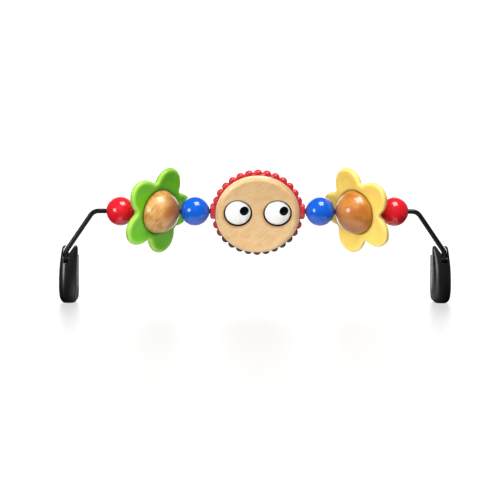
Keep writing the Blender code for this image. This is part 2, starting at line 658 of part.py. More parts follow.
def make_clip(name, side, bar, material):
    """A moulded clip: a jaw for the bouncer's tube, with a forked front wall for the rod's end."""
    pivot = frame(name + "_axis", (side * knee_x, 0, CLIP_PIVOT_HEIGHT), parent=bar)
    rings = [clip_outline(side, *level) for level in clip_levels()]
    clip = solid(name, skin(rings), pivot, material)
    top = CLIP_HEIGHT - CLIP_PIVOT_HEIGHT + OVERRUN
    foot = -CLIP_PIVOT_HEIGHT - OVERRUN
    back = jaw_y + JAW_RADIUS + CLIP_WALL + OVERRUN
    reach = CLIP_LIP_REACH + OVERRUN
    front = -CLIP_FRONT_REACH - OVERRUN
    jaw_x = -side * JAW_CENTRE_INSET

    jaw_top = CLIP_JAW_HEIGHT - CLIP_PIVOT_HEIGHT
    open_top = box((-reach, groove_floor + PRONG_WALL, jaw_top), (reach, back, top))
    combine(clip, solid(name + "_open_top", open_top, pivot))
    jaw = rod_of(JAW_RADIUS, foot, top, BALL_SIDES)
    bmesh.ops.translate(jaw, vec=(jaw_x, jaw_y, 0), verts=jaw.verts)
    combine(clip, solid(name + "_jaw_bore", jaw, pivot))
    mouth_x = sorted((jaw_x, -side * reach))
    mouth = box((mouth_x[0], jaw_y - JAW_MOUTH / 2, foot), (mouth_x[1], jaw_y + JAW_MOUTH / 2, top))
    combine(clip, solid(name + "_mouth", mouth, pivot))

    inner_half = rod_radius + SLOT_INNER_CLEAR
    outer_half = rod_radius + SLOT_OUTER_CLEAR
    slot = leg_silhouette(side, inner_half, outer_half, CLIP_HEIGHT)
    corner = Vector((side * (groove_half - RUNNING_GAP / 2), slot[0].y))
    slot.insert(1, corner)
    rings = [[Vector((p.x, y, p.y)) for p in slot] for y in (front, back)]
    combine(clip, solid(name + "_fork", skin(rings), pivot))
    groove = box((-groove_half, front, -groove_floor), (groove_half, groove_floor, KNEE_RISE))
    combine(clip, solid(name + "_groove", groove, pivot))
    leg = leg_silhouette(side, groove_half, groove_half, CLIP_HEIGHT)
    swing = [Vector((-side * groove_half, RUNNING_GAP)), Vector((side * groove_half, RUNNING_GAP))]
    swing += leg[1:] + leg[:1]
    rings = []
    for step in range(SWING_STEPS + 1):
        turn = Matrix.Rotation(math.radians(90.0) * step / SWING_STEPS, 3, "X")
        rings.append([turn @ Vector((p.x, 0, p.y)) for p in swing])
    combine(clip, solid(name + "_swing_room", skin(rings), pivot))

    ends = sorted((-side * (PIVOT_PIN_INNER + RUNNING_GAP), side * (CLIP_OUTER_REACH + OVERRUN)))
    combine(clip, solid(name + "_pin_hole", along_x(rod_of(pin_bore_radius, *ends)), pivot))
    ends = sorted((-side * PIVOT_PIN_INNER, side * PIVOT_PIN_OUTER))
    steel = paint(name + "_pin_steel", (0.6, 0.6, 0.6), 0.35, 1.0)
    solid(name + "_pin", along_x(rod_of(PIVOT_PIN_RADIUS, *ends)), pivot, steel)


# The whole bar

def main():
    for old in list(bpy.data.objects):
        bpy.data.objects.remove(old, do_unlink=True)

    bar = frame("bar", (0, BAR_OFFSET, 0))
    bar_axis = frame("bar_axis", (ROW_SLIDE, 0, bar_z), parent=bar)
    beech = paint("beech", (0.72, 0.46, 0.22), 0.45)
    dark_beech = paint("dark_beech", (0.62, 0.33, 0.12), 0.35)
    red = paint("red_lacquer", (0.78, 0.02, 0.04), 0.2)
    blue = paint("blue_lacquer", (0.01, 0.12, 0.75), 0.2)
    ring_red = paint("red_plastic", (0.70, 0.035, 0.03), 0.3)
    green = paint("green_plastic", (0.16, 0.50, 0.03), 0.35)
    yellow = paint("yellow_plastic", (0.95, 0.62, 0.12), 0.35)
    white = paint("white_enamel", (0.92, 0.92, 0.9), 0.15)
    black = paint("black_pupil", (0.01, 0.01, 0.012), 0.12)
    clip_black = paint("clip_black", (0.013, 0.013, 0.014), 0.3)

    make_rod(bar)
    for side, word in ((-1, "left"), (1, "right")):
        make_bead(word + "_blue_bead", side * blue_x, bar_axis, blue)
        make_bead(word + "_red_bead", side * red_x, bar_axis, red, side)
        make_washer(word + "_washer", side, bar_axis)
        make_clip(word + "_clip", side, bar, clip_black)
    make_flower_toy("left_flower", -1, bar_axis, beech, green, "left_ball", "green_flower")
    make_flower_toy("right_flower", 1, bar_axis, dark_beech, yellow, "right_ball", "yellow_flower")
    make_face(bar_axis, beech, ring_red, white, black)


main()
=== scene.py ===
# %% [markdown]
# # A toy bar for a baby bouncer
# A bent steel rod carries seven toys between the two clips that snap onto a bouncer. The CAD
# model is loaded first and never changed. Each cell after it makes one finish or one kind of
# piece in finer form, in the same place, and lets it ride on the same moving body.

# %% Load the frame
import json
import math

import bmesh
import bpy
import numpy as np
from mathutils import Matrix, Vector


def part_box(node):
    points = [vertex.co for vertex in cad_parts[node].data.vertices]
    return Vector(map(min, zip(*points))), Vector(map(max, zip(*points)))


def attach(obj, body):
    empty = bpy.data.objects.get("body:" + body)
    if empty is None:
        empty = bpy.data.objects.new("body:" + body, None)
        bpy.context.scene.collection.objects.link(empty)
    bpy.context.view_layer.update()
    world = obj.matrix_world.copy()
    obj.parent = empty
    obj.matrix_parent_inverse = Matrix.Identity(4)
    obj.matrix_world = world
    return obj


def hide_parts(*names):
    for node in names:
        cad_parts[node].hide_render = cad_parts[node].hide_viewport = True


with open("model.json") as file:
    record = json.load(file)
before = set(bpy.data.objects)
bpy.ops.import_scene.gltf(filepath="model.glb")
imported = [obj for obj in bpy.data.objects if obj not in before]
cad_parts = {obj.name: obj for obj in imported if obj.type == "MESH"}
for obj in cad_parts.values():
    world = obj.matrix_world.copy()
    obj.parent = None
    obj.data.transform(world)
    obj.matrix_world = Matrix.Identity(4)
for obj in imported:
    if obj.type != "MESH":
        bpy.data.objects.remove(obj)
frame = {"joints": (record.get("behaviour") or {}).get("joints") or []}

QUARTER = math.radians(90.0)
SIDES = (("left", -1), ("right", 1))
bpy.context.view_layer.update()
axis_of = {joint["name"]: Vector(joint["pos_m"]) for joint in frame["joints"]}

# %% [markdown]
# ## Camera
# The photograph was taken from about two metres away, a little above the bar and a few
# centimetres to the left of its middle, with a long lens. Both flowers are turned inward by the
# same angle, and only a camera to the left sees them as unequal as they look. The height, the aim
# and the lens come from matching the beads, the face and the clips to their places in the picture.
# The picture is also turned by a sixth of a degree, so the camera is rolled by as much.

# %% Set up the camera
CAMERA_DISTANCE = 2.0
CAMERA_HEIGHT_ANGLE = math.radians(3.92)
CAMERA_SIDE_ANGLE = math.radians(-1.15)     # to the left
CAMERA_ROLL = 0.0030
CAMERA_AIM = Vector((-0.00555, 0.0, 0.0541))
LENS_PER_DISTANCE = 0.9813      # frame widths of focal length for each metre to the bar
SENSOR_WIDTH = 36.0

camera_data = bpy.data.cameras.new("camera")
camera_data.sensor_width = SENSOR_WIDTH
camera_data.lens = SENSOR_WIDTH * LENS_PER_DISTANCE * CAMERA_DISTANCE * 2
camera = bpy.data.objects.new("camera", camera_data)
bpy.context.scene.collection.objects.link(camera)
away = Vector((0, -math.cos(CAMERA_HEIGHT_ANGLE), math.sin(CAMERA_HEIGHT_ANGLE)))
away.rotate(Matrix.Rotation(CAMERA_SIDE_ANGLE, 3, "Z"))
camera.location = CAMERA_AIM + CAMERA_DISTANCE * away
look = Matrix.Rotation(CAMERA_SIDE_ANGLE, 3, "Z") @ Matrix.Rotation(QUARTER - CAMERA_HEIGHT_ANGLE, 3, "X")
camera.rotation_euler = (look @ Matrix.Rotation(CAMERA_ROLL, 3, "Z")).to_euler()
bpy.context.scene.camera = camera
print("lens", round(camera_data.lens, 1), "mm, camera at", [round(v, 3) for v in camera.location])

# %% [markdown]
# ## Light
# The glossy beads show the studio: a square softbox overhead and a round lamp to the left, both
# in front of the bar. Each highlight's place on a bead gives the direction of its lamp. The face
# looks down and away from both, so a broad fill lamp lights it from the front. The fill is kept
# out of reflections, because the beads show no third light.

# %% Hang the lamps
BAR_MIDDLE = Vector((0, 0, 0.0937))


def lamp(name, shape, size, direction, distance, brightness, in_gloss=True):
    """A flat lamp that faces the bar; brightness is what a mirror would show."""
    data = bpy.data.lights.new(name, "AREA")
    data.shape = shape
    data.size = size
    share = math.pi / 4 if shape == "DISK" else 1.0
    data.energy = brightness * math.pi * size ** 2 * share
    thing = bpy.data.objects.new(name, data)
    bpy.context.scene.collection.objects.link(thing)
    direction = Vector(direction).normalized()
    thing.location = BAR_MIDDLE + direction * distance
    thing.rotation_euler = direction.to_track_quat("Z", "Y").to_euler()
    thing.visible_glossy = in_gloss
    print(name, round(data.energy, 1), "W")


lamp("overhead_softbox", "SQUARE", 0.72, (0.17, -0.40, 0.90), 1.35, 12.5)
lamp("left_round_lamp", "DISK", 0.56, (-0.75, -0.655, 0.14), 1.40, 11.0)
lamp("front_fill", "SQUARE", 1.2, (-0.1, -0.9, 0.42), 2.2, 5.2, in_gloss=False)

# %% [markdown]
# ## Shader maths
# A finish is easiest to read as a sum: `dark + 0.3 * grain`. One small class wraps a number that
# varies over a surface, and Python's own operators add the Math nodes. A second class holds a
# material and makes every other kind of node through one method.

# %% Wrap sockets and materials
class Varying:
    """A number or colour that varies over a surface; sums with it become Math nodes."""

    def __init__(self, finish, socket):
        self.finish = finish
        self.socket = socket

    def maths(self, operation, first, second):
        return self.finish.node("ShaderNodeMath", {"operation": operation}, {0: first, 1: second})

    def __add__(self, other):
        return self.maths("ADD", self, other)

    def __radd__(self, other):
        return self.maths("ADD", other, self)

    def __sub__(self, other):
        return self.maths("SUBTRACT", self, other)

    def __rsub__(self, other):
        return self.maths("SUBTRACT", other, self)

    def __mul__(self, other):
        return self.maths("MULTIPLY", self, other)

    def __rmul__(self, other):
        return self.maths("MULTIPLY", other, self)


class Finish:
    """One material. Its fixed values are set on the shader, its varying ones are fed to it."""

    def __init__(self, name, fixed):
        self.material = bpy.data.materials.new(name)
        self.material.use_nodes = True
        self.tree = self.material.node_tree
        self.shader = self.tree.nodes["Principled BSDF"]
        self.vary(fixed)

    def node(self, kind, settings, inputs, output=0):
        """Add a node: its settings first, then its sockets. Gives one of its outputs."""
        node = self.tree.nodes.new(kind)
        for name, value in settings.items():
            if name == "stops":
                self.set_stops(node.color_ramp, value)
            else:
                setattr(node, name, value)
        for name, value in inputs.items():
            self.feed(node.inputs[name], value)
        return Varying(self, node.outputs[output])

    def set_stops(self, ramp, stops):
        while len(ramp.elements) < len(stops):
            ramp.elements.new(1.0)
        for element, (place, value) in zip(ramp.elements, stops):
            element.position = place
            element.color = (value, value, value, 1.0)

    def feed(self, socket, value):
        if isinstance(value, Varying):
            self.tree.links.new(value.socket, socket)
        elif socket.type == "RGBA" and len(value) == 3:
            socket.default_value = (*value, 1.0)
        else:
            socket.default_value = value

    def vary(self, inputs):
        for name, value in inputs.items():
            self.feed(self.shader.inputs[name], value)

    def mark(self, name):
        """A value from 0 to 1 that the piece's mesh carries under this name."""
        return self.node("ShaderNodeAttribute", {"attribute_name": name}, {}, "Fac")

    def coordinate(self, axis):
        """How far a point lies along axis 0, 1 or 2, in metres."""
        return self.node("ShaderNodeSeparateXYZ", {}, {0: self.place()}, axis)

    def vector(self, operation, first, second):
        """The single number that a vector operation gives."""
        inputs = {0: first, 1: second}
        return self.node("ShaderNodeVectorMath", {"operation": operation}, inputs, "Value")

    def place(self, stretch=(1, 1, 1), turn=(0, 0, 0), shift=(0, 0, 0)):
        """Where a point of the piece is, in metres, turned and stretched for a grain."""
        at = self.node("ShaderNodeTexCoord", {}, {}, "Object")
        point = {"vector_type": "POINT"}
        at = self.node("ShaderNodeMapping", point, {"Vector": at, "Location": shift, "Rotation": turn})
        return self.node("ShaderNodeMapping", point, {"Vector": at, "Scale": stretch})

    def noise(self, at, size, detail=2.0, warp=0.0):
        """Soft random patches of about this size, from 0 to 1."""
        inputs = {"Vector": at, "Scale": 1 / size, "Detail": detail, "Distortion": warp}
        return self.node("ShaderNodeTexNoise", {"noise_dimensions": "3D"}, inputs)

    def between(self, value, low, high):
        """0 below low, 1 above high, and smooth between."""
        settings = {"interpolation_type": "SMOOTHSTEP"}
        inputs = {"Value": value, "From Min": low, "From Max": high}
        return self.node("ShaderNodeMapRange", settings, inputs)

    def mix(self, share, first, second):
        """The second colour over the first, by share."""
        settings = {"data_type": "RGBA", "clamp_factor": True}
        return self.node("ShaderNodeMix", settings, {0: share, 6: first, 7: second}, 2)

    def bump(self, height, depth):
        """A normal from a height of 0 to 1 that stands for this many metres."""
        inputs = {"Height": height, "Strength": 1.0, "Distance": depth}
        return self.node("ShaderNodeBump", {}, inputs)


print("shader helpers ready")


# %% [markdown]
# ## Colours
# Colours are given as a picture shows them, from 0 to 255, and turned into the linear values
# that a shader works with.

# %% Name the colours
def colour(red, green, blue):
    """A picture's colour as linear light."""
    shares = [part / 255 for part in (red, green, blue)]
    return tuple(s / 12.92 if s <= 0.04045 else ((s + 0.055) / 1.055) ** 2.4 for s in shares)


def shaded(tint, share):
    """The same colour with this share of its light."""
    return tuple(part * share for part in tint)


BEAD_RED = colour(222, 22, 38)
BEAD_BLUE = colour(0, 90, 205)
RING_RED = colour(196, 40, 44)
# Painted shade: the brown that the ring's lowest knobs are darkened to, below the discs.
UNDERSIDE_SHADE = colour(62, 26, 18)
LEAF_GREEN = colour(108, 200, 20)
LEAF_RIM_LIGHT = colour(186, 236, 96)
PETAL_YELLOW = colour(251, 214, 100)
PETAL_RIM_LIGHT = colour(252, 222, 122)
BEECH_PALE = colour(231, 195, 143)
BEECH_WARM = colour(224, 182, 126)
BEECH_GRAIN_AND_EYE_SHADOW = colour(176, 120, 66)
# Painted light along the face's rounded edge.
BEECH_EDGE_LIGHT = colour(255, 238, 226)
BALL_PALE = colour(222, 172, 96)
BALL_WARM = colour(188, 118, 46)
BALL_DARK = colour(128, 66, 30)
TAN_PALE = colour(204, 134, 44)
TAN_WARM = colour(184, 104, 26)
TAN_DARK = colour(138, 72, 20)
# Painted shade inside the eyes' wells.
WELL_SHADE = colour(14, 8, 5)
EYE_WHITE = colour(246, 246, 243)
DEEP_BLACK = colour(4, 4, 5)
ENAMEL_BLACK = colour(14, 14, 15)
CLIP_BLACK = colour(5, 5, 6)
STEEL = colour(186, 187, 188)
print("red bead in linear light:", [round(c, 3) for c in BEAD_RED])

# %% [markdown]
# ## Table and surround
# The bar stands on a white table that runs up into a white wall a long way off, as a studio's
# paper does. The table glows a little below white, and the rest is the reflection of a lit
# backdrop that only gloss can see. Where a clip's foot blocks that reflection the paper goes grey,
# which gives the soft streaks below the clips. The light that comes back up is a separate matter:
# the toys see a board just under the paper, pale below them and black towards the clips, so the
# undersides are lifted while the black plastic stays black.

# %% Lay the table and light the room
WHITE = (1.0, 1.0, 1.0)
TABLE_RADIUS = 5.0
WALL_HEIGHT = 6.0
WALL_BEND = 1.5
WALL_STEPS = 8
BOARD_HALF_LENGTH = 0.33
BOARD_HALF_WIDTH = 0.20
BOARD_DEPTH = 0.002
BOARD_PALE = 0.85
BOARD_BLACK = 0.01
PALE_TO_BLACK_X = (0.135, 0.200)
PALE_TO_BLACK_Y = (0.05, 0.16)
TABLE_GLOW = 0.68
TABLE_ENDS = 1.5
WALL_GLOW = 1.1
WALL_STARTS = 3.0
BACKDROP_Y = 4.0
BACKDROP_HALF_WIDTH = 3.0
BACKDROP_HEIGHT = 3.5
BACKDROP_GLOW = 2.2
ROOM_LIGHT = 0.16
STAGE_SIDES = 64


def around(count):
    """The angles of this many points spaced evenly around a circle."""
    return [math.tau * i / count for i in range(count)]


def ring_at(radius, height):
    """A level ring of points around the bar."""
    return [(radius * math.cos(t), radius * math.sin(t), height) for t in around(STAGE_SIDES)]


def loose(name, bm):
    """A mesh made into an object that rides on nothing yet."""
    mesh = bpy.data.meshes.new(name)
    bm.to_mesh(mesh)
    bm.free()
    thing = bpy.data.objects.new(name, mesh)
    bpy.context.scene.collection.objects.link(thing)
    return thing


def stage_piece(name, rings, material):
    """An open sheet of the studio, which is no part of the bar."""
    bm = bmesh.new()
    made = [[bm.verts.new(point) for point in ring] for ring in rings]
    bm.faces.new(made[0])
    for low, high in zip(made, made[1:]):
        for i, vert in enumerate(low):
            j = (i + 1) % len(low)
            bm.faces.new((vert, high[i], high[j], low[j]))
    sheet = loose(name, bm)
    sheet.data.materials.append(material)
    sheet.data.shade_smooth()
    return sheet


paper = Finish("white_paper", {"Base Color": DEEP_BLACK, "Roughness": 0.42, "Emission Strength": 1.0})
far = paper.between(paper.vector("DISTANCE", paper.place(), (0, 0, 0)), TABLE_ENDS, WALL_STARTS)
paper.vary({"Emission Color": paper.mix(far, shaded(WHITE, TABLE_GLOW), shaded(WHITE, WALL_GLOW))})
bend = [(TABLE_RADIUS + WALL_BEND * math.sin(a), WALL_BEND * (1 - math.cos(a)))
        for a in [QUARTER * i / WALL_STEPS for i in range(WALL_STEPS + 1)]]
rings = [ring_at(TABLE_ENDS, 0)] + [ring_at(r, z) for r, z in bend]
rings.append(ring_at(TABLE_RADIUS + WALL_BEND, WALL_HEIGHT))
table = stage_piece("table_and_wall", rings, paper.material)
table.visible_diffuse = table.visible_glossy = table.visible_shadow = False

card = Finish("painted_board", {"Roughness": 0.8})
pale = 1.0
for axis, (pale_to, black_from) in enumerate((PALE_TO_BLACK_X, PALE_TO_BLACK_Y)):
    off = card.coordinate(axis)
    pale = pale * card.between(off * off, black_from ** 2, pale_to ** 2)
card.vary({"Base Color": card.mix(pale, shaded(WHITE, BOARD_BLACK), shaded(WHITE, BOARD_PALE))})
half_x, half_y = BOARD_HALF_LENGTH, BOARD_HALF_WIDTH
corners = [(-half_x, -half_y), (half_x, -half_y), (half_x, half_y), (-half_x, half_y)]
board = stage_piece("bounce_board", [[(x, y, -BOARD_DEPTH) for x, y in corners]], card.material)
board.visible_camera = board.visible_shadow = False

backdrop_finish = Finish("lit_backdrop", {"Base Color": DEEP_BLACK, "Emission Strength": 1.0})
cloud = backdrop_finish.noise(backdrop_finish.place(), 1.0)
glow = shaded(WHITE, BACKDROP_GLOW)
backdrop_finish.vary({"Emission Color": backdrop_finish.mix(cloud, glow, shaded(glow, 0.96))})
across, top = BACKDROP_HALF_WIDTH, BACKDROP_HEIGHT
sheet = [(x, BACKDROP_Y, z) for x, z in ((-across, -top), (across, -top), (across, top), (-across, top))]
backdrop = stage_piece("lit_backdrop", [sheet], backdrop_finish.material)
backdrop.visible_camera = backdrop.visible_diffuse = backdrop.visible_shadow = False

room = bpy.data.worlds.new("room")
room.use_nodes = True
room.node_tree.nodes["Background"].inputs["Color"].default_value = (ROOM_LIGHT, ROOM_LIGHT, ROOM_LIGHT, 1.0)
bpy.context.scene.world = room
bpy.context.scene.view_settings.view_transform = "Standard"
print("table", TABLE_RADIUS * 2, "m across, board", BOARD_HALF_LENGTH * 2, "m long")

# %% [markdown]
# ## Finishes: lacquer
# The beads are beech under several coats of coloured lacquer. The colour hardly varies, but the
# coat is never a perfect mirror: it has pulled slightly into the pores of the wood.

# %% Mix the lacquers
LACQUER_PATCH = 0.007
LACQUER_SWELL = 0.005
LACQUER_RELIEF = 0.000006
PORE_SIZE = 0.0032


def lacquer(name, tint, shade_share):
    """Coloured lacquer on turned wood, with faint pores and a soft unevenness."""
    finish = Finish(name, {"Coat Roughness": 0.03, "Coat IOR": 1.5, "Specular IOR Level": 0.1})
    patches = finish.noise(finish.place(), LACQUER_PATCH, 2.0)
    pores = finish.noise(finish.place(stretch=(1, 6, 6)), PORE_SIZE, 3.0)
    swell = finish.noise(finish.place(), LACQUER_SWELL, 1.0)
    height = swell * 0.7 + pores * 0.3
    finish.vary({
        "Base Color": finish.mix(patches, tint, shaded(tint, shade_share)),
        "Roughness": 0.24 + 0.12 * pores,
        "Coat Weight": 1.0 - 0.08 * finish.between(pores, 0.62, 0.8),
        "Normal": finish.bump(height, LACQUER_RELIEF),
    })
    return finish.material


red_lacquer = lacquer("red_lacquer", BEAD_RED, 0.86)
blue_lacquer = lacquer("blue_lacquer", BEAD_BLUE, 0.8)
print("lacquers:", red_lacquer.name, blue_lacquer.name)


# %% [markdown]
# ## Finishes: beech
# Beech is pale and even, with faint growth rings, warmer patches where the lacquer has soaked in,
# and short dark flecks along the grain. The three woods here differ in tone and in the way the
# grain runs, which the turn gives. One side of each ball and of the face is painted darker, as
# shade, which also stands for the darker end grain. The face has more to show: painted shadows
# below the eyes, painted shade in the wells that the eyes sit in, and a thin painted line of light
# around its edge.

# %% Lay out the wood grain
GRAIN_BEND = 0.03
GRAIN_WANDER = (0.002, 0.007, 0.007)
WAVE_PITCH = 0.314              # metres between a wave texture's rings at scale 1
FLECK_SIZE = 0.0011
FIBRE_SIZE = 0.0009
BEECH_RELIEF = 0.00004
# Where the painted shadow below each eye lies and how far it reaches.
EYE_SHADOW_ASIDE = -0.0006
EYE_SHADOW_BELOW = -0.0013
EYE_SHADOW_REACH = (0.0138, 0.0168)
# How far from the face's middle the painted edge light starts and where it is full.
EDGE_LIGHT_REACH = (0.0430, 0.0416)


def beech(name, tones, turn, shift, ring_pitch, ring_share, patch_size, gloss, ends=(1, 0, 0), stains=()):
    """Clear-lacquered beech; tones are its pale, warm and dark colours.

    Ends is the way that the side painted darker faces: painted shade, which also stands for the end
    grain. Stains holds painted shadows and painted light, each a colour with a centre and the two
    distances from it where the colour is full and where it has faded out.
    """
    pale, warm, dark = tones
    finish = Finish(name, {"Coat Roughness": 0.12 * (1.2 - gloss), "Coat IOR": 1.45})
    at = finish.place(turn=turn, shift=shift)
    along = finish.place(stretch=(0.55, 1, 1), turn=turn, shift=shift)
    bend = finish.noise(along, GRAIN_BEND, 2.0)
    wander = {0: bend, 1: GRAIN_WANDER, 2: at}
    bent = finish.node("ShaderNodeVectorMath", {"operation": "MULTIPLY_ADD"}, wander)
    growth = {"wave_type": "RINGS", "rings_direction": "X", "wave_profile": "SAW"}
    spacing = {"Scale": WAVE_PITCH / ring_pitch, "Distortion": 1.2, "Detail": 2.0, "Detail Scale": 1.5}
    rings = finish.node("ShaderNodeTexWave", growth, {"Vector": bent, **spacing})
    patches = finish.between(finish.noise(along, patch_size, 2.0, 0.4), 0.38, 0.66)
    short = finish.place(stretch=(0.2, 1, 1), turn=turn, shift=shift)
    flecks = finish.between(finish.noise(short, FLECK_SIZE, 1.0), 0.6, 0.74)
    long = finish.place(stretch=(0.06, 1, 1), turn=turn, shift=shift)
    fibres = finish.noise(long, FIBRE_SIZE, 2.0)
    tone = finish.mix(patches, pale, warm)
    tone = finish.mix(rings * ring_share, tone, dark)
    tone = finish.mix(flecks * 0.28, tone, dark)
    tone = finish.mix(fibres * 0.12, tone, dark)
    # Painted shade: the side that ends faces is darkened, which also stands for darker end grain.
    facing = finish.node("ShaderNodeTexCoord", {}, {}, "Normal")
    facing_shaded_side = finish.vector("DOT_PRODUCT", facing, ends)
    tone = finish.mix(finish.between(facing_shaded_side, 0.25, 0.95) * 0.8, tone, dark)
    # Painted shadows below the eyes, and a painted line of light around the face's edge.
    for painted_tone, centre, (full, faded) in stains:
        off = finish.vector("DISTANCE", finish.place(), centre)
        tone = finish.mix(finish.between(off, faded, full) * 0.7, tone, painted_tone)
    # Painted shade: the wood inside the wells is darkened, and it is rougher with no coat.
    well = finish.mark("well")
    tone = finish.mix(well, tone, WELL_SHADE)
    height = fibres * 0.5 + 0.5 * (1 - flecks)
    finish.vary({
        "Base Color": tone,
        "Roughness": 0.34 + 0.2 * fibres + 0.4 * well,
        "Coat Weight": (gloss - 0.1 * flecks) * (1 - well),
        "Normal": finish.bump(height, BEECH_RELIEF),
    })
    return finish.material


def box_middle(node, across=0, up=0):
    """The middle of a CAD piece's box, moved a little across and up."""
    low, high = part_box(node)
    x, y, z = [(a + b) / 2 for a, b in zip(low, high)]
    return (x + across, y, z + up)


face_painted_light_and_shade = []
# Painted shadows below the eyes.
for eye in ("left_eye", "right_eye"):
    below_eye = box_middle(eye, EYE_SHADOW_ASIDE, EYE_SHADOW_BELOW)
    face_painted_light_and_shade.append((BEECH_GRAIN_AND_EYE_SHADOW, below_eye, EYE_SHADOW_REACH))
# A painted line of light around the front disc's rounded edge.
face_painted_light_and_shade.append((BEECH_EDGE_LIGHT, box_middle("face_front_disc"), EDGE_LIGHT_REACH))
face_beech = beech("face_beech", (BEECH_PALE, BEECH_WARM, BEECH_GRAIN_AND_EYE_SHADOW), (0, 0.63, 0.23), (0.02, 0.05, 0.11),
                   0.0034, 0.10, 0.007, 0.35, ends=(0.75, 0, 0.66), stains=face_painted_light_and_shade)
left_beech = beech("left_beech", (BALL_PALE, BALL_WARM, BALL_DARK), (0.4, 0.9, 0.3), (0.09, 0.02, -0.05),
                   0.0040, 0.18, 0.009, 0.55, ends=(0.98, -0.1, 0.1))
right_beech = beech("right_beech", (TAN_PALE, TAN_WARM, TAN_DARK), (0.2, -0.5, 0.5), (-0.125, 0.03, -0.10),
                    0.0030, 0.24, 0.010, 0.9, ends=(-0.6, 0, -0.8))
print("woods:", face_beech.name, left_beech.name, right_beech.name)


# %% [markdown]
# ## Finishes: moulded plastic
# The flowers and the ring are injection moulded: an even colour, a fine moulded texture, and soft
# handling marks in the gloss. Their rims are painted a little paler, as light that catches them and
# shines through where they are thick. The rim is a value that the flower's mesh carries at each
# point, and so is a line of painted shade around the ball and, fainter, along the petals' edges.
# The ring's lowest knobs are painted brown as the shade below the discs, and the green flower is
# painted darker towards one side, as shade.

# %% Mix the plastics
MOULD_PATCH = 0.012
MOULD_GRAIN = 0.0007
MOULD_RELIEF = 0.00003
SCUFF_SIZE = 0.002
LIGHT_REACH = (0.004, 0.004, 0.002)
# Places along the bar across which the green flower is painted darker, as shade.
GREEN_SHADE_ACROSS = (-0.120, -0.085)
# Heights below which the ring is painted dark as shade.
RING_SHADE_HEIGHTS = (0.060, 0.088)


def plastic(name, body_tint, rim_light_tint, roughness, glow, marks=0.1, shaded_below=None, shine=0.5, shade_across=None):
    """Moulded plastic with its rim painted paler as light, a fine grain and a few marks from handling.

    shaded_below gives two heights: below the first the colour is painted dark as shade, and above the
    second it is clean. shade_across gives two places along the bar between which the colour is
    painted darker, as shade.
    """
    finish = Finish(name, {"Subsurface Weight": glow, "Subsurface Radius": LIGHT_REACH,
                           "Subsurface Scale": 1.0, "Coat Roughness": 0.2, "Specular IOR Level": shine})
    patches = finish.noise(finish.place(), MOULD_PATCH, 2.0)
    grain = finish.noise(finish.place(), MOULD_GRAIN, 2.0)
    scuffs = finish.between(finish.noise(finish.place(stretch=(1, 0.15, 1)), SCUFF_SIZE, 3.0), 0.6, 0.8)
    # Painted light: the rim value makes the rim paler, as light caught on it and shining through it.
    tone = finish.mix(finish.mark("rim"), body_tint, rim_light_tint)
    tone = finish.mix(patches * 0.2, tone, shaded(body_tint, 0.8))
    if shade_across:
        # Painted shade: the colour darkens towards the higher of the two places along the bar.
        thick = finish.between(finish.coordinate(0), *shade_across)
        tone = finish.mix(thick * 0.4, tone, shaded(body_tint, 0.5))
    # Painted shade from the line value, around the ball and along the petals' edges.
    tone = finish.mix(finish.mark("line"), tone, shaded(body_tint, 0.2))
    if shaded_below:
        # Painted shade: below the first height the ring turns brown-dark, as the shade under the discs.
        tone = finish.mix(finish.between(finish.coordinate(2), *shaded_below), UNDERSIDE_SHADE, tone)
    finish.vary({
        "Base Color": tone,
        "Roughness": roughness + marks * scuffs + 0.06 * grain,
        "Normal": finish.bump(grain * 0.6 + patches, MOULD_RELIEF),
    })
    return finish.material


green_plastic = plastic("green_plastic", LEAF_GREEN, LEAF_RIM_LIGHT, 0.3, 0.12, shade_across=GREEN_SHADE_ACROSS)
yellow_plastic = plastic("yellow_plastic", PETAL_YELLOW, PETAL_RIM_LIGHT, 0.34, 0.15)
red_plastic = plastic("red_plastic", RING_RED, RING_RED, 0.26, 0.05, shaded_below=RING_SHADE_HEIGHTS)
clip_plastic = plastic("clip_plastic", CLIP_BLACK, CLIP_BLACK, 0.28, 0.0, 0.06, shine=0.6)
eye_plastic = plastic("eye_plastic", EYE_WHITE, EYE_WHITE, 0.16, 0.05, 0.05)
pupil_plastic = plastic("pupil_plastic", DEEP_BLACK, DEEP_BLACK, 0.15, 0.0, 0.05, shine=0.15)
print("plastics:", ", ".join(part.name for part in bpy.data.materials if part.name.endswith("_plastic")))


# %% [markdown]
# ## Finishes: enamel and bare steel
# The rod's enamel is sprayed, so it has a faint orange peel and a little dust. Its two ends rub in
# the clips at every swing, so they have lost their gloss. Pins, screws and washers are plain
# drawn steel with lines around them.

# %% Mix the metal finishes
PEEL_SIZE = 0.0012
PEEL_RELIEF = 0.00003
DUST_SIZE = 0.006
RUBBED_TO_GLOSSY = (0.050, 0.056)
DRAWN_LINE = 0.0025
DRAWN_RELIEF = 0.00002
STEEL_STAIN = 0.003


def enamel(name, tint):
    """Sprayed enamel, glossy but for its rubbed lower ends."""
    finish = Finish(name, {"Coat Roughness": 0.15, "Specular IOR Level": 0.22})
    peel = finish.noise(finish.place(), PEEL_SIZE, 1.0)
    dust = finish.between(finish.noise(finish.place(), DUST_SIZE, 4.0), 0.5, 0.8)
    glossy = finish.between(finish.coordinate(2), *RUBBED_TO_GLOSSY)
    finish.vary({
        "Base Color": finish.mix(dust * 0.2, tint, shaded(tint, 2.0)),
        "Roughness": 0.75 - 0.45 * glossy + 0.1 * dust,
        "Coat Weight": glossy * (0.12 - 0.1 * dust),
        "Normal": finish.bump(peel, PEEL_RELIEF),
    })
    return finish.material


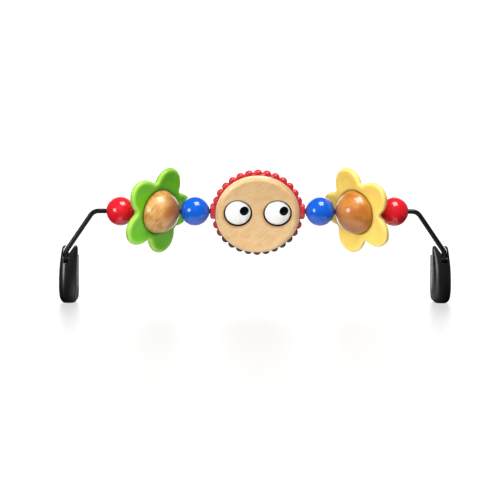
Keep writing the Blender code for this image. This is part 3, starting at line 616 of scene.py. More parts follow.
def bare_steel(name, tint):
    """Drawn steel with faint lines and a few stains."""
    finish = Finish(name, {})
    lines = finish.noise(finish.place(stretch=(8, 1, 1)), DRAWN_LINE, 3.0)
    stains = finish.between(finish.noise(finish.place(), STEEL_STAIN, 3.0), 0.45, 0.75)
    finish.vary({
        "Base Color": finish.mix(stains * 0.5, tint, shaded(tint, 0.6)),
        "Metallic": 1.0 - 0.1 * stains,
        "Roughness": 0.25 + 0.25 * lines,
        "Normal": finish.bump(lines, DRAWN_RELIEF),
    })
    return finish.material


black_enamel = enamel("black_enamel", ENAMEL_BLACK)
steel = bare_steel("bare_steel", STEEL)
print("metals:", black_enamel.name, steel.name)


# %% [markdown]
# ## Making meshes
# Almost every piece here is turned, moulded or bent, so it can be made from rings of points with
# faces between neighbours. Holes are cut afterwards with exact Boolean cuts, and the result is
# applied so that a piece is one plain mesh.

# %% Helpers for rings, turning and cutting
RUNNING_GAP = 0.0003
OVERRUN = 1.2                   # how much farther than its piece a cutting tool reaches
SHARP_ABOVE = math.radians(38.0)


def skin(rings, closed=False):
    """Faces between rings of equally many points; a ring of one point is a pole."""
    bm = bmesh.new()
    made = [[bm.verts.new(point) for point in ring] for ring in rings]
    pairs = list(zip(made, made[1:]))
    if closed:
        pairs.append((made[-1], made[0]))
    for low, high in pairs:
        count = max(len(low), len(high))
        for i in range(count):
            j = (i + 1) % count
            if len(low) == 1:
                bm.faces.new((low[0], high[i], high[j]))
            elif len(high) == 1:
                bm.faces.new((low[i], high[0], low[j]))
            else:
                bm.faces.new((low[i], high[i], high[j], low[j]))
    if not closed:
        for end in (made[0], made[-1]):
            if len(end) > 2:
                bm.faces.new(end)
    return outward(bm)


def outward(bm):
    """The same mesh with every face looking out of the piece."""
    bmesh.ops.recalc_face_normals(bm, faces=bm.faces)
    if bm.calc_volume(signed=True) < 0:
        bmesh.ops.reverse_faces(bm, faces=bm.faces)
    return bm


def turned(profile, sides, closed=False):
    """A profile of (radius, height) points turned about Z; closed where it is bored through."""
    rings = []
    for radius, height in profile:
        turns = around(sides) if radius > 0 else [0]
        rings.append([Vector((radius * math.cos(t), radius * math.sin(t), height)) for t in turns])
    return skin(rings, closed)


def arc(centre, radius, start, end, steps, depth=None):
    """Points (x, y) along an arc, both ends included; depth makes it oval in y."""
    tall = depth or radius
    angles = [start + (end - start) * i / steps for i in range(steps + 1)]
    return [(centre[0] + radius * math.cos(a), centre[1] + tall * math.sin(a)) for a in angles]


def placed(bm, matrix):
    """The same mesh, moved."""
    bmesh.ops.transform(bm, matrix=matrix, verts=bm.verts)
    return bm


def peg(radius, low, high, sides=40):
    """A plain round bar along Z, used for cutting holes."""
    return turned([(0, low), (radius, low), (radius, high), (0, high)], sides)


def eased_bar(radius, low, high, ease):
    """The profile of a round bar whose two end edges are cut back by ease."""
    return [(0, low), (radius - ease, low), (radius, low + ease),
            (radius, high - ease), (radius - ease, high), (0, high)]


ALONG_X = Matrix.Rotation(QUARTER, 4, "Y")


def carved(bm, others, operation="DIFFERENCE"):
    """The mesh with the others cut away or added, as a new mesh."""
    thing = loose("blank", bm)
    tools = [loose("tool", other) for other in others]
    for tool in tools:
        modifier = thing.modifiers.new("cut", "BOOLEAN")
        modifier.operation = operation
        modifier.object = tool
        modifier.solver = "EXACT"
    return settled(thing, tools)


def settled(thing, tools=()):
    """What the modifiers make of a piece, as a mesh; the piece and its tools go."""
    shape = thing.evaluated_get(bpy.context.evaluated_depsgraph_get())
    result = bmesh.new()
    result.from_mesh(shape.to_mesh())
    for old in [thing, *tools]:
        bpy.data.objects.remove(old, do_unlink=True)
    return result


def round_normals(mesh, centre, radius):
    """Shade the faces on a sphere as the sphere, so that cuts leave no smears beside them."""
    normals = []
    reach = radius / 1000
    for polygon in mesh.polygons:
        for index in polygon.loop_indices:
            out = mesh.vertices[mesh.loops[index].vertex_index].co - centre
            on_sphere = abs(out.length - radius) < reach and polygon.normal.dot(out.normalized()) > 0.9
            normals.append(out.normalized() if on_sphere else polygon.normal.copy())
    mesh.normals_split_custom_set(normals)


def finished(name, bm, body, node, material, sharp=SHARP_ABOVE):
    """A piece that stands for one CAD node and rides on its body."""
    thing = loose(name, bm)
    thing.data.materials.append(material)
    thing.data.shade_smooth()
    thing.data.set_sharp_from_angle(angle=sharp)
    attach(thing, body)
    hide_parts(node)
    return thing


print("mesh helpers ready")

# %% [markdown]
# ## Beads
# A bead is turned from a dowel: a ball with a drilled bore whose edges are eased so that it runs
# freely. The outer beads are counterbored for the washers that hold the row together. Turning one
# profile gives all of that at once.

# %% Turn the beads
BEAD_RADIUS = 0.0150
BORE_RADIUS = 0.0028
BORE_EASE = 0.0005
WASHER_RADIUS = 0.0045
WASHER_DEPTH = 0.0019
WASHER_THICKNESS = 0.0010
BEAD_SIDES = 72
BEAD_STEPS = 44


def bead_profile(washer_side):
    """Half of a bead cut along its bore, as (radius, place along the rod)."""
    end_angle = math.acos((BORE_RADIUS + BORE_EASE) / BEAD_RADIUS)
    points = [(BORE_RADIUS, 0)]
    for side in (-1, 1):
        steps = arc((0, 0), BEAD_RADIUS, 0, side * end_angle, BEAD_STEPS // 2)
        end_x = BEAD_RADIUS * math.sin(end_angle) - BORE_EASE
        if side == washer_side:
            mouth = WASHER_RADIUS + RUNNING_GAP
            bottom = side * (BEAD_RADIUS - WASHER_DEPTH - RUNNING_GAP)
            mouth_angle = math.acos(mouth / BEAD_RADIUS)
            steps = arc((0, 0), BEAD_RADIUS, 0, side * mouth_angle, BEAD_STEPS // 2)
            steps += [(mouth, bottom), (BORE_RADIUS, bottom)]
        else:
            steps += [(BORE_RADIUS, side * end_x)]
        points = points + list(reversed(steps)) if side < 0 else points + steps[1:]
    return points


def make_bead(name, body, material, washer_side=0):
    """One bead on the rod, counterbored on the washer's side."""
    bm = turned(bead_profile(washer_side), BEAD_SIDES, closed=True)
    placed(bm, Matrix.Translation(axis_of[name + "_spin"]) @ ALONG_X)
    bead = finished(name + "_turned", bm, body, name, material)
    print(name, len(bead.data.polygons), "faces")


for word, side in SIDES:
    make_bead(word + "_red_bead", word + "_outer_bead", red_lacquer, side)
for word, side in SIDES:
    make_bead(word + "_blue_bead", word + "_inner_bead", blue_lacquer)

# %% [markdown]
# ## Retaining washers
# A push-on washer has a ring of spring teeth that bite the rod. It is pressed from sheet, so its
# inner edge simply steps in and out around the rod.

# %% Press the washers
TEETH = 6
TOOTH_STEPS = 8
TOOTH_DEPTH = 0.0009
SLOT_STEPS = 2


def make_washer(name, side):
    """A flat ring whose inner edge steps in and out, against the outer bead's counterbore."""
    centre = axis_of["face_spin"]
    low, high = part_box(name)
    outside = low[0] if side < 0 else high[0]
    inside = outside - side * WASHER_THICKNESS
    count = TEETH * TOOTH_STEPS
    toothed = [BORE_RADIUS + (TOOTH_DEPTH if i % TOOTH_STEPS < SLOT_STEPS else 0) for i in range(count)]
    plain = [WASHER_RADIUS] * count
    rings = []
    for x, radii in ((outside, plain), (inside, plain), (inside, toothed), (outside, toothed)):
        rings.append([Vector((x, centre.y + r * math.cos(t), centre.z + r * math.sin(t)))
                      for r, t in zip(radii, around(count))])
    finished(name + "_toothed", skin(rings, closed=True), "frame_rod", name, steel)


for word, side in SIDES:
    make_washer(word + "_washer", side)
print("washers:", TEETH, "teeth each")

# %% [markdown]
# ## Rod
# One 5 mm rod bent on a former: the row of toys, two sharp bends down and two softer knees above
# the clips. Its ends are flattened and pierced for the pivot pins. The bends are true arcs, and
# the round section is carried along them.

# %% Bend the rod
ROD_RADIUS = 0.0025
ROD_BEND = 0.0100
ROD_KNEE = 0.0060
ROD_CORNER_X = 0.1647
ROD_KNEE_X = 0.1926
ROD_KNEE_Z = 0.0529
PIVOT_Z = 0.0450
PIN_BORE = 0.0017
EYE_WALL = 0.0017
EYE_HALF_WIDTH = 0.0022
EYE_EDGE = 0.0005
ROD_EYE_SIDES = 40
ROD_SIDES = 28
BEND_STEPS = 14


def rounded_path(corners, radii):
    """Points along straight runs with an arc at each inner corner."""
    points = [corners[0]]
    for i, radius in enumerate(radii, start=1):
        before = (corners[i - 1] - corners[i]).normalized()
        after = (corners[i + 1] - corners[i]).normalized()
        half = before.angle(after) / 2
        centre = corners[i] + (before + after).normalized() * radius / math.sin(half)
        start = corners[i] + before * radius / math.tan(half) - centre
        end = corners[i] + after * radius / math.tan(half) - centre
        sweep = start.angle(end)
        across = (end - start * math.cos(sweep)) / math.sin(sweep)
        for step in range(BEND_STEPS + 1):
            angle = sweep * step / BEND_STEPS
            points.append(centre + start * math.cos(angle) + across * math.sin(angle))
    points.append(corners[-1])
    return points


def make_rod():
    """The bent rod with a pierced eye at each end."""
    y = axis_of["face_spin"].y
    bar_z = axis_of["face_spin"].z
    half = [(ROD_KNEE_X, PIVOT_Z + PIN_BORE + RUNNING_GAP), (ROD_KNEE_X, ROD_KNEE_Z), (ROD_CORNER_X, bar_z)]
    corners = [Vector((-x, y, z)) for x, z in half] + [Vector((x, y, z)) for x, z in reversed(half)]
    path = rounded_path(corners, [ROD_KNEE, ROD_BEND, ROD_BEND, ROD_KNEE])
    rings = []
    front = Vector((0, 1, 0))
    for i, point in enumerate(path):
        tangent = (path[min(i + 1, len(path) - 1)] - path[max(i - 1, 0)]).normalized()
        up = tangent.cross(front)
        ways = [math.cos(t) * up + math.sin(t) * front for t in around(ROD_SIDES)]
        rings.append([point + ROD_RADIUS * way for way in ways])
    rod = skin(rings)
    outer = PIN_BORE + EYE_WALL
    eyes = []
    bores = []
    for side in (-1, 1):
        at = Matrix.Translation((side * ROD_KNEE_X, y, PIVOT_Z)) @ ALONG_X
        eye = eased_bar(outer, -EYE_HALF_WIDTH, EYE_HALF_WIDTH, EYE_EDGE)
        eyes.append(placed(turned(eye, ROD_EYE_SIDES), at))
        reach = EYE_HALF_WIDTH * 3
        bores.append(placed(peg(PIN_BORE, -reach, reach, ROD_SIDES), at))
    rod = carved(carved(rod, eyes, "UNION"), bores)
    thing = finished("rod_bent", rod, "frame_rod", "rod", black_enamel)
    print("rod", len(thing.data.polygons), "faces")


make_rod()

# %% [markdown]
# ## Wooden balls and flowers
# Each flower snaps into a groove around a wooden ball, turned and tilted to look past the camera.
# The ball is drilled along the rod, so it is turned about the rod's axis and the slanting groove
# is cut from it.

# %% Turn and groove the balls
BALL_RADIUS = 0.0225
HUB_FRONT = 0.0025
HUB_THICKNESS = 0.0054
GROOVE_DEPTH = 0.0022
FLOWER_TURN = math.radians(44.5)
FLOWER_TILT = math.radians(17.6)
BALL_SIDES = 96
BALL_STEPS = 60
hub_back = HUB_FRONT - HUB_THICKNESS
groove_radius = math.sqrt(BALL_RADIUS ** 2 - HUB_FRONT ** 2) - GROOVE_DEPTH
hub_radius = groove_radius + RUNNING_GAP


def flower_plane(word):
    """The frame of a flower: its middle, with Z along the way it looks."""
    facing = Matrix.Rotation(QUARTER + FLOWER_TILT, 4, "X")
    facing = facing @ Matrix.Rotation(-dict(SIDES)[word] * FLOWER_TURN, 4, "Y")
    return Matrix.Translation(axis_of[word + "_flower_spin"]) @ facing


def make_ball(word, material):
    """A drilled ball with the slanting groove that its flower sits in."""
    end_angle = math.acos((BORE_RADIUS + BORE_EASE) / BALL_RADIUS)
    ball = arc((0, 0), BALL_RADIUS, -end_angle, end_angle, BALL_STEPS)
    end = ball[-1][1] - BORE_EASE
    profile = [(BORE_RADIUS, -end)] + ball + [(BORE_RADIUS, end)]
    centre = axis_of[word + "_flower_spin"]
    blank = placed(turned(profile, BALL_SIDES, closed=True), Matrix.Translation(centre) @ ALONG_X)
    front, back, outside = HUB_FRONT + RUNNING_GAP, hub_back - RUNNING_GAP, BALL_RADIUS * OVERRUN
    ring = [(groove_radius, back), (outside, back), (outside, front), (groove_radius, front)]
    groove = placed(turned(ring, BALL_SIDES, closed=True), flower_plane(word))
    ball = carved(blank, [groove])
    ball = finished(word + "_ball_turned", ball, word + "_flower", word + "_ball", material)
    round_normals(ball.data, centre, BALL_RADIUS)
    print(word, "ball", len(ball.data.polygons), "faces")


make_ball("left", left_beech)
make_ball("right", right_beech)

# %% [markdown]
# The flower is one moulding: five petals round a collar. What gives it away as moulded plastic is
# its rim, a full round of even width that follows the outline into the notches, with a dished
# floor inside it. So the height of the surface is worked out from the true distance to the
# outline. The same distance is kept on the mesh as the rim value, which the finish paints paler as
# light. The closeness to the ball and to the edge is kept as the line value, which it paints dark
# as shade.

# %% Mould the flowers
PETALS = 5
PETAL_CENTRE = 0.0258
PETAL_HALF_LENGTH = 0.0204
PETAL_HALF_WIDTH = 0.0175
PETAL_LEAN = math.radians(2.4)
PETAL_LIFT = 0.0008
RIM_RADIUS = 0.0030
RIM_BLEND = 0.0100
FLOOR_HEIGHT = 0.0017
WEB_RADIUS = 0.0320
COLLAR_WIDTH = 0.0045
# Widths of the painted shade around the ball and along the petals' edges.
SEAT_SHADE_WIDTH = 0.0026
EDGE_SHADE_WIDTH = 0.0010
EDGE_SHADE_SHARE = 0.3
CROWDING = 1.7                  # above 1, the rings of points crowd towards the rim
FLOWER_PHASE = {"left": math.radians(28.6), "right": math.radians(24.4)}
PETAL_POINTS = 64
SURFACE_STEPS = 26


def smooth(value):
    """0 to 1 with a soft start and end."""
    value = np.clip(value, 0, 1)
    return value * value * (3 - 2 * value)


def petal_reach(angle):
    """How far the outline reaches at an angle from a petal's own middle line."""
    half_pitch = math.pi / PETALS
    off = (angle + half_pitch) % (2 * half_pitch) - half_pitch
    c, s = math.cos(off), math.sin(off)
    a, b, r = PETAL_HALF_LENGTH, PETAL_HALF_WIDTH, PETAL_CENTRE
    slope = (c / a) ** 2 + (s / b) ** 2
    inside = (r * c / a ** 2) ** 2 - slope * ((r / a) ** 2 - 1)
    if inside <= 0:
        return WEB_RADIUS
    return max(WEB_RADIUS, (r * c / a ** 2 + math.sqrt(inside)) / slope)


def edge_distance(points, outline):
    """The distance from each point to the outline's nearest stretch."""
    start = outline
    step = np.roll(outline, -1, axis=0) - outline
    best = np.full(len(points), np.inf)
    for a, d in zip(start, step):
        off = points - a
        along = np.clip(off @ d / (d @ d), 0, 1)
        gap = off - along[:, None] * d
        best = np.minimum(best, np.hypot(gap[:, 0], gap[:, 1]))
    return best


def make_flower(word, node, material):
    """Five petals round a collar, as rings of points from the collar out to the rim and back."""
    count = PETALS * PETAL_POINTS
    reach = np.array([petal_reach(angle) for angle in around(count)])
    ways = np.array([(math.cos(angle), math.sin(angle)) for angle in around(count)])
    outline = ways * reach[:, None]
    hub_middle = (HUB_FRONT + hub_back) / 2
    shares = [1 - (1 - i / SURFACE_STEPS) ** CROWDING for i in range(SURFACE_STEPS + 1)]
    rings = [[Vector((*(ways[i] * hub_radius), hub_back)) for i in range(count)]]
    rims = [np.zeros(count)]
    lines = [np.ones(count)]
    surfaces = [(1, share) for share in shares[:-1]] + [(0, 1.0)]
    surfaces += [(-1, share) for share in reversed(shares[1:-1])]
    for upper, share in surfaces:
        radius = hub_radius + (reach - hub_radius) * share
        points = ways * radius[:, None]
        inward = edge_distance(points, outline) if share < 1 else np.zeros(count)
        short_of_top = RIM_RADIUS - np.minimum(inward, RIM_RADIUS)
        round_part = np.sqrt(np.clip(RIM_RADIUS ** 2 - short_of_top ** 2, 0, None))
        dish = smooth((inward - RIM_RADIUS) / RIM_BLEND)
        top = round_part * (1 - dish) + FLOOR_HEIGHT * dish
        collar = 1 - smooth((radius - hub_radius) / COLLAR_WIDTH)
        top = top * (1 - collar) + HUB_THICKNESS / 2 * collar
        above = {1: top, 0: np.zeros(count), -1: -round_part}[upper]
        lean = smooth((radius - hub_radius) / (PETAL_CENTRE - hub_radius))
        leaned = PETAL_LIFT - (radius - PETAL_CENTRE) * math.tan(PETAL_LEAN)
        height = hub_middle + (leaned - hub_middle) * lean + above
        rings.append([Vector((points[i][0], points[i][1], height[i])) for i in range(count)])
        rims.append(1 - smooth(inward / (RIM_RADIUS * 2)))
        # Painted shade: a dark line where the flower meets the ball, and a fainter one along the edges.
        seat = 1 - smooth((radius - BALL_RADIUS) / SEAT_SHADE_WIDTH)
        edge = EDGE_SHADE_SHARE * (1 - smooth(inward / EDGE_SHADE_WIDTH))
        lines.append(np.maximum(seat, edge))
    bm = skin(rings, closed=True)
    turn = QUARTER + dict(SIDES)[word] * FLOWER_PHASE[word]
    placed(bm, flower_plane(word) @ Matrix.Rotation(turn, 4, "Z"))
    flower = finished(node + "_moulded", bm, word + "_flower", node, material)
    for label, values in (("rim", rims), ("line", lines)):
        marks = flower.data.attributes.new(label, "FLOAT", "POINT")
        marks.data.foreach_set("value", np.concatenate(values))
    print(node, len(flower.data.polygons), "faces")


make_flower("left", "green_flower", green_plastic)
make_flower("right", "yellow_flower", yellow_plastic)

# %% [markdown]
# ## Face
# Two turned beech discs clamp the scalloped ring between them. The front disc has shallow wells
# that the eyes sit in, painted dark inside as shade, which give each eye its dark outline. A disc's
# edge is rounded by less than a quarter turn, so it meets the flat front in a crisp ridge.

# %% Place the face's frame
FACE_TILT = math.radians(22.0)
FACE_DROP = 0.0016
DISC_RADIUS = 0.0428
DISC_HALF = 0.0085
DISC_ROUND = 0.0044
DISC_RIDGE = math.radians(50.0)
RIDGE_SUPPORT = 0.0004
RING_HALF = 0.0035
SPIGOT_RADIUS = 0.0297
EYE_RADIUS = 0.0130
EYE_SPREAD = 0.0201
EYE_RAISE = 0.0030
WELL_DEPTH = 0.0022
WELL_CLEAR = 0.0015
SCREW_SPREAD = 0.0150
DISC_SIDES = 144
DISC_SHARP = math.radians(30.0)

face_turn = Matrix.Rotation(QUARTER + FACE_TILT, 4, "X")
face_plane = Matrix.Translation(axis_of["face_spin"]) @ face_turn @ Matrix.Translation((0, -FACE_DROP, 0))
rod_line = Matrix.Translation(axis_of["face_spin"]) @ ALONG_X
flange = RING_HALF + RUNNING_GAP
well_floor = DISC_HALF - WELL_DEPTH
print("face plane at", [round(v, 4) for v in face_plane.translation])


# %% Turn the two discs
SCREW_RADIUS = 0.0015
SCREW_HEAD_RADIUS = 0.0030
SCREW_HEAD = 0.0018
SCREW_GRIP = 0.0038
SCREW_SIDES = 36
EYE_SIDES = 96
EYE_PIN_RADIUS = 0.0018
EYE_PIN_GRIP = 0.0028
screw_places = [(x * SCREW_SPREAD, y * SCREW_SPREAD) for x, y in ((-1, 1), (1, 1), (1, -1), (-1, -1))]


def disc_profile(facing):
    """Half of a disc cut through its middle: flat face, ridge, round edge, flange and spigot."""
    steps = 24
    points = [(0, DISC_HALF), (DISC_RADIUS - DISC_ROUND - RIDGE_SUPPORT, DISC_HALF)]
    for i in range(steps + 1):
        angle = DISC_RIDGE * (1 - i / steps)
        inward = (1 - math.cos(angle)) / (1 - math.cos(DISC_RIDGE))
        upward = math.sin(angle) / math.sin(DISC_RIDGE)
        points.append((DISC_RADIUS - DISC_ROUND * inward, flange + (DISC_HALF - flange) * upward))
    joint = RUNNING_GAP / 2
    points += [(SPIGOT_RADIUS, flange), (SPIGOT_RADIUS, joint), (0, joint)]
    return [(radius, facing * height) for radius, height in points]


def screw_hole(x, y):
    """The hole for a countersunk screw, in the face's frame."""
    mouth = SCREW_HEAD_RADIUS + RUNNING_GAP
    wide = SCREW_RADIUS + RUNNING_GAP
    tip = SCREW_GRIP + SCREW_RADIUS + 2 * RUNNING_GAP
    profile = [(0, -DISC_HALF - RUNNING_GAP), (mouth + RUNNING_GAP, -DISC_HALF - RUNNING_GAP),
               (wide, SCREW_HEAD - DISC_HALF), (wide, SCREW_GRIP + RUNNING_GAP), (0, tip)]
    return placed(turned(profile, SCREW_SIDES), face_plane @ Matrix.Translation((x, y, 0)))


def mark_shaded_wells(mesh):
    """Give each face inside the eyes' wells the value 1, where the finish paints shade."""
    to_face = face_plane.inverted()
    inside = []
    for polygon in mesh.polygons:
        at = to_face @ polygon.center
        off = min((at.xy - Vector((x, EYE_RAISE))).length for x in (-EYE_SPREAD, EYE_SPREAD))
        in_well = off < EYE_RADIUS + WELL_CLEAR * 1.2 and 0 < at.z < DISC_HALF - RUNNING_GAP
        inside.append(float(in_well))
    mesh.attributes.new("well", "FLOAT", "FACE").data.foreach_set("value", inside)


def make_disc(node, facing):
    """A disc with its bores; facing is 1 for the front one, which also has the eyes' wells."""
    blank = placed(turned(disc_profile(facing), DISC_SIDES), face_plane)
    through = DISC_RADIUS * OVERRUN
    cuts = [placed(peg(BORE_RADIUS, -through, through), rod_line)]
    cuts += [screw_hole(x, y) for x, y in screw_places]
    if facing > 0:
        for side in (-1, 1):
            at = face_plane @ Matrix.Translation((side * EYE_SPREAD, EYE_RAISE, 0))
            cuts.append(placed(peg(EYE_RADIUS + WELL_CLEAR, well_floor, DISC_HALF * 2, EYE_SIDES), at))
            hole_foot = well_floor - EYE_PIN_GRIP - RUNNING_GAP
            cuts.append(placed(peg(EYE_PIN_RADIUS + RUNNING_GAP, hole_foot, DISC_HALF), at))
    disc = carved(blank, cuts)
    disc = finished(node + "_turned", disc, "face", node, face_beech, DISC_SHARP)
    mark_shaded_wells(disc.data)
    print(node, len(disc.data.polygons), "faces")


make_disc("face_front_disc", 1)
make_disc("face_back_disc", -1)

# %% [markdown]
# The ring's edge is a row of round knobs, like a crimped pie. Each knob is rounded across the
# ring as well as around it, so the outline is drawn in more and more towards the ring's faces.
# A rounded boss at each side keeps the neighbouring beads off the discs.

# %% Mould the scalloped ring
SCALLOP_RADIUS = 0.0045
SCALLOP_CIRCLE = 0.0430
SCALLOP_PLACES = 30
SCALLOP_ROUND = 0.0024
SCALLOP_SWEEP = 0.88 * math.pi
BOSS_REACH = 0.0483
BOSS_HALF_HEIGHT = 0.0086
BOSS_HALF_DEPTH = 0.0052
BOSS_ROUND = 0.0020
BOSS_SIDES = 48


def ring_outline(edge):
    """The scalloped outline as (x, y) points, drawn in by edge."""
    points = []
    pitch = math.tau / SCALLOP_PLACES
    steps = 12
    boss_x = BOSS_REACH - SCALLOP_RADIUS / 2 - edge
    boss_y = BOSS_HALF_HEIGHT - FACE_DROP - edge
    for end in (0, 1):
        turn = Matrix.Rotation(math.pi * end, 2)
        boss = [(boss_x - SCALLOP_RADIUS / 2, -boss_y), (boss_x, -boss_y / 2), (boss_x, boss_y / 2),
                (boss_x - SCALLOP_RADIUS / 2, boss_y)]
        points += [turn @ Vector(p) for p in boss]
        for place in range(1, SCALLOP_PLACES // 2 - 1):
            middle = pitch * (place + 1 / 2)
            centre = SCALLOP_CIRCLE * Vector((math.cos(middle), math.sin(middle)))
            for i in range(steps + 1):
                angle = middle + SCALLOP_SWEEP * (i / steps - 0.5)
                lobe = (SCALLOP_RADIUS - edge) * Vector((math.cos(angle), math.sin(angle)))
                points.append(turn @ (centre + lobe))
    return points


def make_ring():
    """The knobbed ring with a boss at each side, bored for the rod."""
    steps = 8
    rings = []
    for i in range(2 * steps + 1):
        height = RING_HALF * (1 - i / steps)
        drawn_in = SCALLOP_ROUND * (1 - math.sqrt(1 - (height / RING_HALF) ** 2))
        rings.append([Vector((*p, height)) for p in ring_outline(drawn_in)])
    inner = SPIGOT_RADIUS + RUNNING_GAP
    for height in (-RING_HALF, RING_HALF):
        holes = [Vector((p.x, p.y)).normalized() * inner for p in rings[0]]
        rings.append([Vector((*p, height)) for p in holes])
    ring = placed(skin(rings, closed=True), face_plane)
    bosses = []
    for side in (-1, 1):
        stations = []
        for x, share in boss_stations():
            stations.append([Vector((side * x, FACE_DROP + share * BOSS_HALF_HEIGHT * math.cos(t),
                                     share * BOSS_HALF_DEPTH * math.sin(t))) for t in around(BOSS_SIDES)])
        bosses.append(placed(skin(stations), face_plane))
    ring = carved(ring, bosses, "UNION")
    through = BOSS_REACH * OVERRUN
    ring = carved(ring, [placed(peg(BORE_RADIUS, -through, through), rod_line)])
    thing = finished("scalloped_ring_moulded", ring, "face", "scalloped_ring", red_plastic)
    print("ring", len(thing.data.polygons), "faces")


def boss_stations():
    """Places along a boss with its width there as a share, rounded off at the end."""
    stations = [(DISC_RADIUS + RUNNING_GAP, 1.0)]
    steps = 6
    for i in range(steps + 1):
        angle = QUARTER * i / steps
        x = BOSS_REACH - BOSS_ROUND * (1 - math.sin(angle))
        stations.append((x, 1 - BOSS_ROUND / BOSS_HALF_DEPTH * (1 - math.cos(angle))))
    return stations


make_ring()

# %% [markdown]
# An eye is a shallow white dome that turns on a headed pin, with a black pupil let into it off
# centre, so that it rolls when the bar is shaken.

# %% Mould the eyes
EYE_CROWN = 0.0042
EYE_RIM = 0.0009
EYE_EASE = 0.0005
PUPIL_RADIUS = 0.00465
PUPIL_OFFSET = 0.0074
PUPIL_ANGLE = math.radians(28.0)
PUPIL_THICKNESS = 0.0013
PUPIL_SIDES = 64
EYE_PIN_HEAD_RADIUS = 0.0030
EYE_PIN_HEAD = 0.0011
EYE_LIP = 0.0009
eye_base = well_floor + RUNNING_GAP
eye_sphere = (EYE_RADIUS ** 2 + EYE_CROWN ** 2) / (2 * EYE_CROWN)
eye_sphere_z = eye_base + EYE_RIM + EYE_CROWN - eye_sphere


def dome_profile():
    """Half of an eye cut through its middle, with the room for its pin's head."""
    rim_angle = math.asin((EYE_RADIUS - EYE_EASE) / eye_sphere)
    steps = 24
    angles = [rim_angle * i / steps for i in range(steps + 1)]
    dome = [(eye_sphere * math.sin(angle), eye_sphere_z + eye_sphere * math.cos(angle)) for angle in angles]
    throat = EYE_PIN_RADIUS + RUNNING_GAP
    cavity = EYE_PIN_HEAD_RADIUS + RUNNING_GAP
    lip = eye_base + EYE_LIP
    roof = lip + EYE_PIN_HEAD + 2 * RUNNING_GAP
    edge = dome[-1][1]
    ease = [(EYE_RADIUS - EYE_EASE * 0.3, edge - EYE_EASE * 0.5), (EYE_RADIUS, edge - EYE_EASE * 1.1)]
    inside = [(throat, eye_base), (throat, lip), (cavity, lip), (cavity, roof), (0, roof)]
    return dome + ease + [(EYE_RADIUS, eye_base)] + inside


def make_eye(word, side):
    """A domed eye with its pupil and the pin that it turns on."""
    at = face_plane @ Matrix.Translation((side * EYE_SPREAD, EYE_RAISE, 0))
    tilt = math.asin(PUPIL_OFFSET / eye_sphere)
    seat = at @ Matrix.Translation((0, 0, eye_sphere_z)) @ Matrix.Rotation(PUPIL_ANGLE, 4, "Z")
    seat = seat @ Matrix.Rotation(tilt, 4, "Y")
    edge_angle = math.asin(PUPIL_RADIUS / eye_sphere)
    bottom = eye_sphere * math.cos(edge_angle) - PUPIL_THICKNESS
    pocket = peg(PUPIL_RADIUS + RUNNING_GAP / 2, bottom - RUNNING_GAP, eye_sphere * 1.5, PUPIL_SIDES)
    eye = carved(placed(turned(dome_profile(), EYE_SIDES), at), [placed(pocket, seat)])
    node, body = word + "_eye", word + "_eye_body"
    eye = finished(node + "_moulded", eye, body, node, eye_plastic)
    steps = 8
    angles = [edge_angle * i / steps for i in range(steps + 1)]
    cap = [(eye_sphere * math.sin(angle), eye_sphere * math.cos(angle)) for angle in angles]
    cap += [(PUPIL_RADIUS, bottom), (0, bottom)]
    pupil = placed(turned(cap, PUPIL_SIDES), seat)
    node = word + "_pupil"
    finished(node + "_moulded", pupil, body, node, pupil_plastic)
    pin_foot = well_floor - EYE_PIN_GRIP
    lip = eye_base + EYE_LIP + RUNNING_GAP
    head_top = lip + EYE_PIN_HEAD
    ease = EYE_PIN_HEAD / 3
    shank = [(0, pin_foot), (EYE_PIN_RADIUS - ease, pin_foot), (EYE_PIN_RADIUS, pin_foot + ease)]
    head = [(EYE_PIN_RADIUS, lip), (EYE_PIN_HEAD_RADIUS, lip), (EYE_PIN_HEAD_RADIUS, head_top - ease),
            (EYE_PIN_HEAD_RADIUS - ease, head_top), (0, head_top)]
    pin = placed(turned(shank + head, SCREW_SIDES), at)
    node = word + "_eye_pin"
    finished(node + "_headed", pin, "face", node, steel)
    print(word, "eye", len(eye.data.polygons), "faces")


for word, side in SIDES:
    make_eye(word, side)

# %% [markdown]
# Four countersunk screws hold the face together from behind. Only their heads show, each with
# its cross-shaped recess.

# %% Drive the screws
RECESS_LENGTH = 0.0034
RECESS_WIDTH = 0.0007
RECESS_DEPTH = 0.0011
RECESS_TURN = 0.4


def block(size, at):
    """A box of this size, in the frame given."""
    bm = bmesh.new()
    bmesh.ops.create_cube(bm, size=1.0)
    return placed(bm, at @ Matrix.Diagonal((*size, 1.0)))


def make_screw(number, x, y):
    """A countersunk screw driven in from behind, with a cross-shaped recess."""
    at = face_plane @ Matrix.Translation((x, y, 0))
    face = -DISC_HALF
    ease = SCREW_HEAD / 6
    profile = [(0, face), (SCREW_HEAD_RADIUS - ease, face), (SCREW_HEAD_RADIUS, face + ease),
               (SCREW_RADIUS, face + SCREW_HEAD), (SCREW_RADIUS, SCREW_GRIP), (0, SCREW_GRIP + SCREW_RADIUS)]
    screw = placed(turned(profile, SCREW_SIDES), at)
    recess_at = at @ Matrix.Translation((0, 0, face)) @ Matrix.Rotation(RECESS_TURN * number, 4, "Z")
    arms = [block((RECESS_LENGTH, RECESS_WIDTH, RECESS_DEPTH * 2), recess_at),
            block((RECESS_WIDTH, RECESS_LENGTH, RECESS_DEPTH * 2), recess_at)]
    node = f"face_screw_{number}"
    finished(node + "_driven", carved(screw, arms), "face", node, steel)


for number, (x, y) in enumerate(screw_places, start=1):
    make_screw(number, x, y)
print("screws:", len(screw_places))

# %% [markdown]
# ## Clips
# A clip is a moulded C whose jaw snaps over a tube of the bouncer, with a forked front that the
# rod's end swings in. It is made as a stack of level outlines, widest below the middle and
# rounded at both ends, and its jaw, mouth, fork and groove are cut from that, in this order: an
# exact cut fails where two tools' faces coincide, so the fork's corner lies inside the groove.

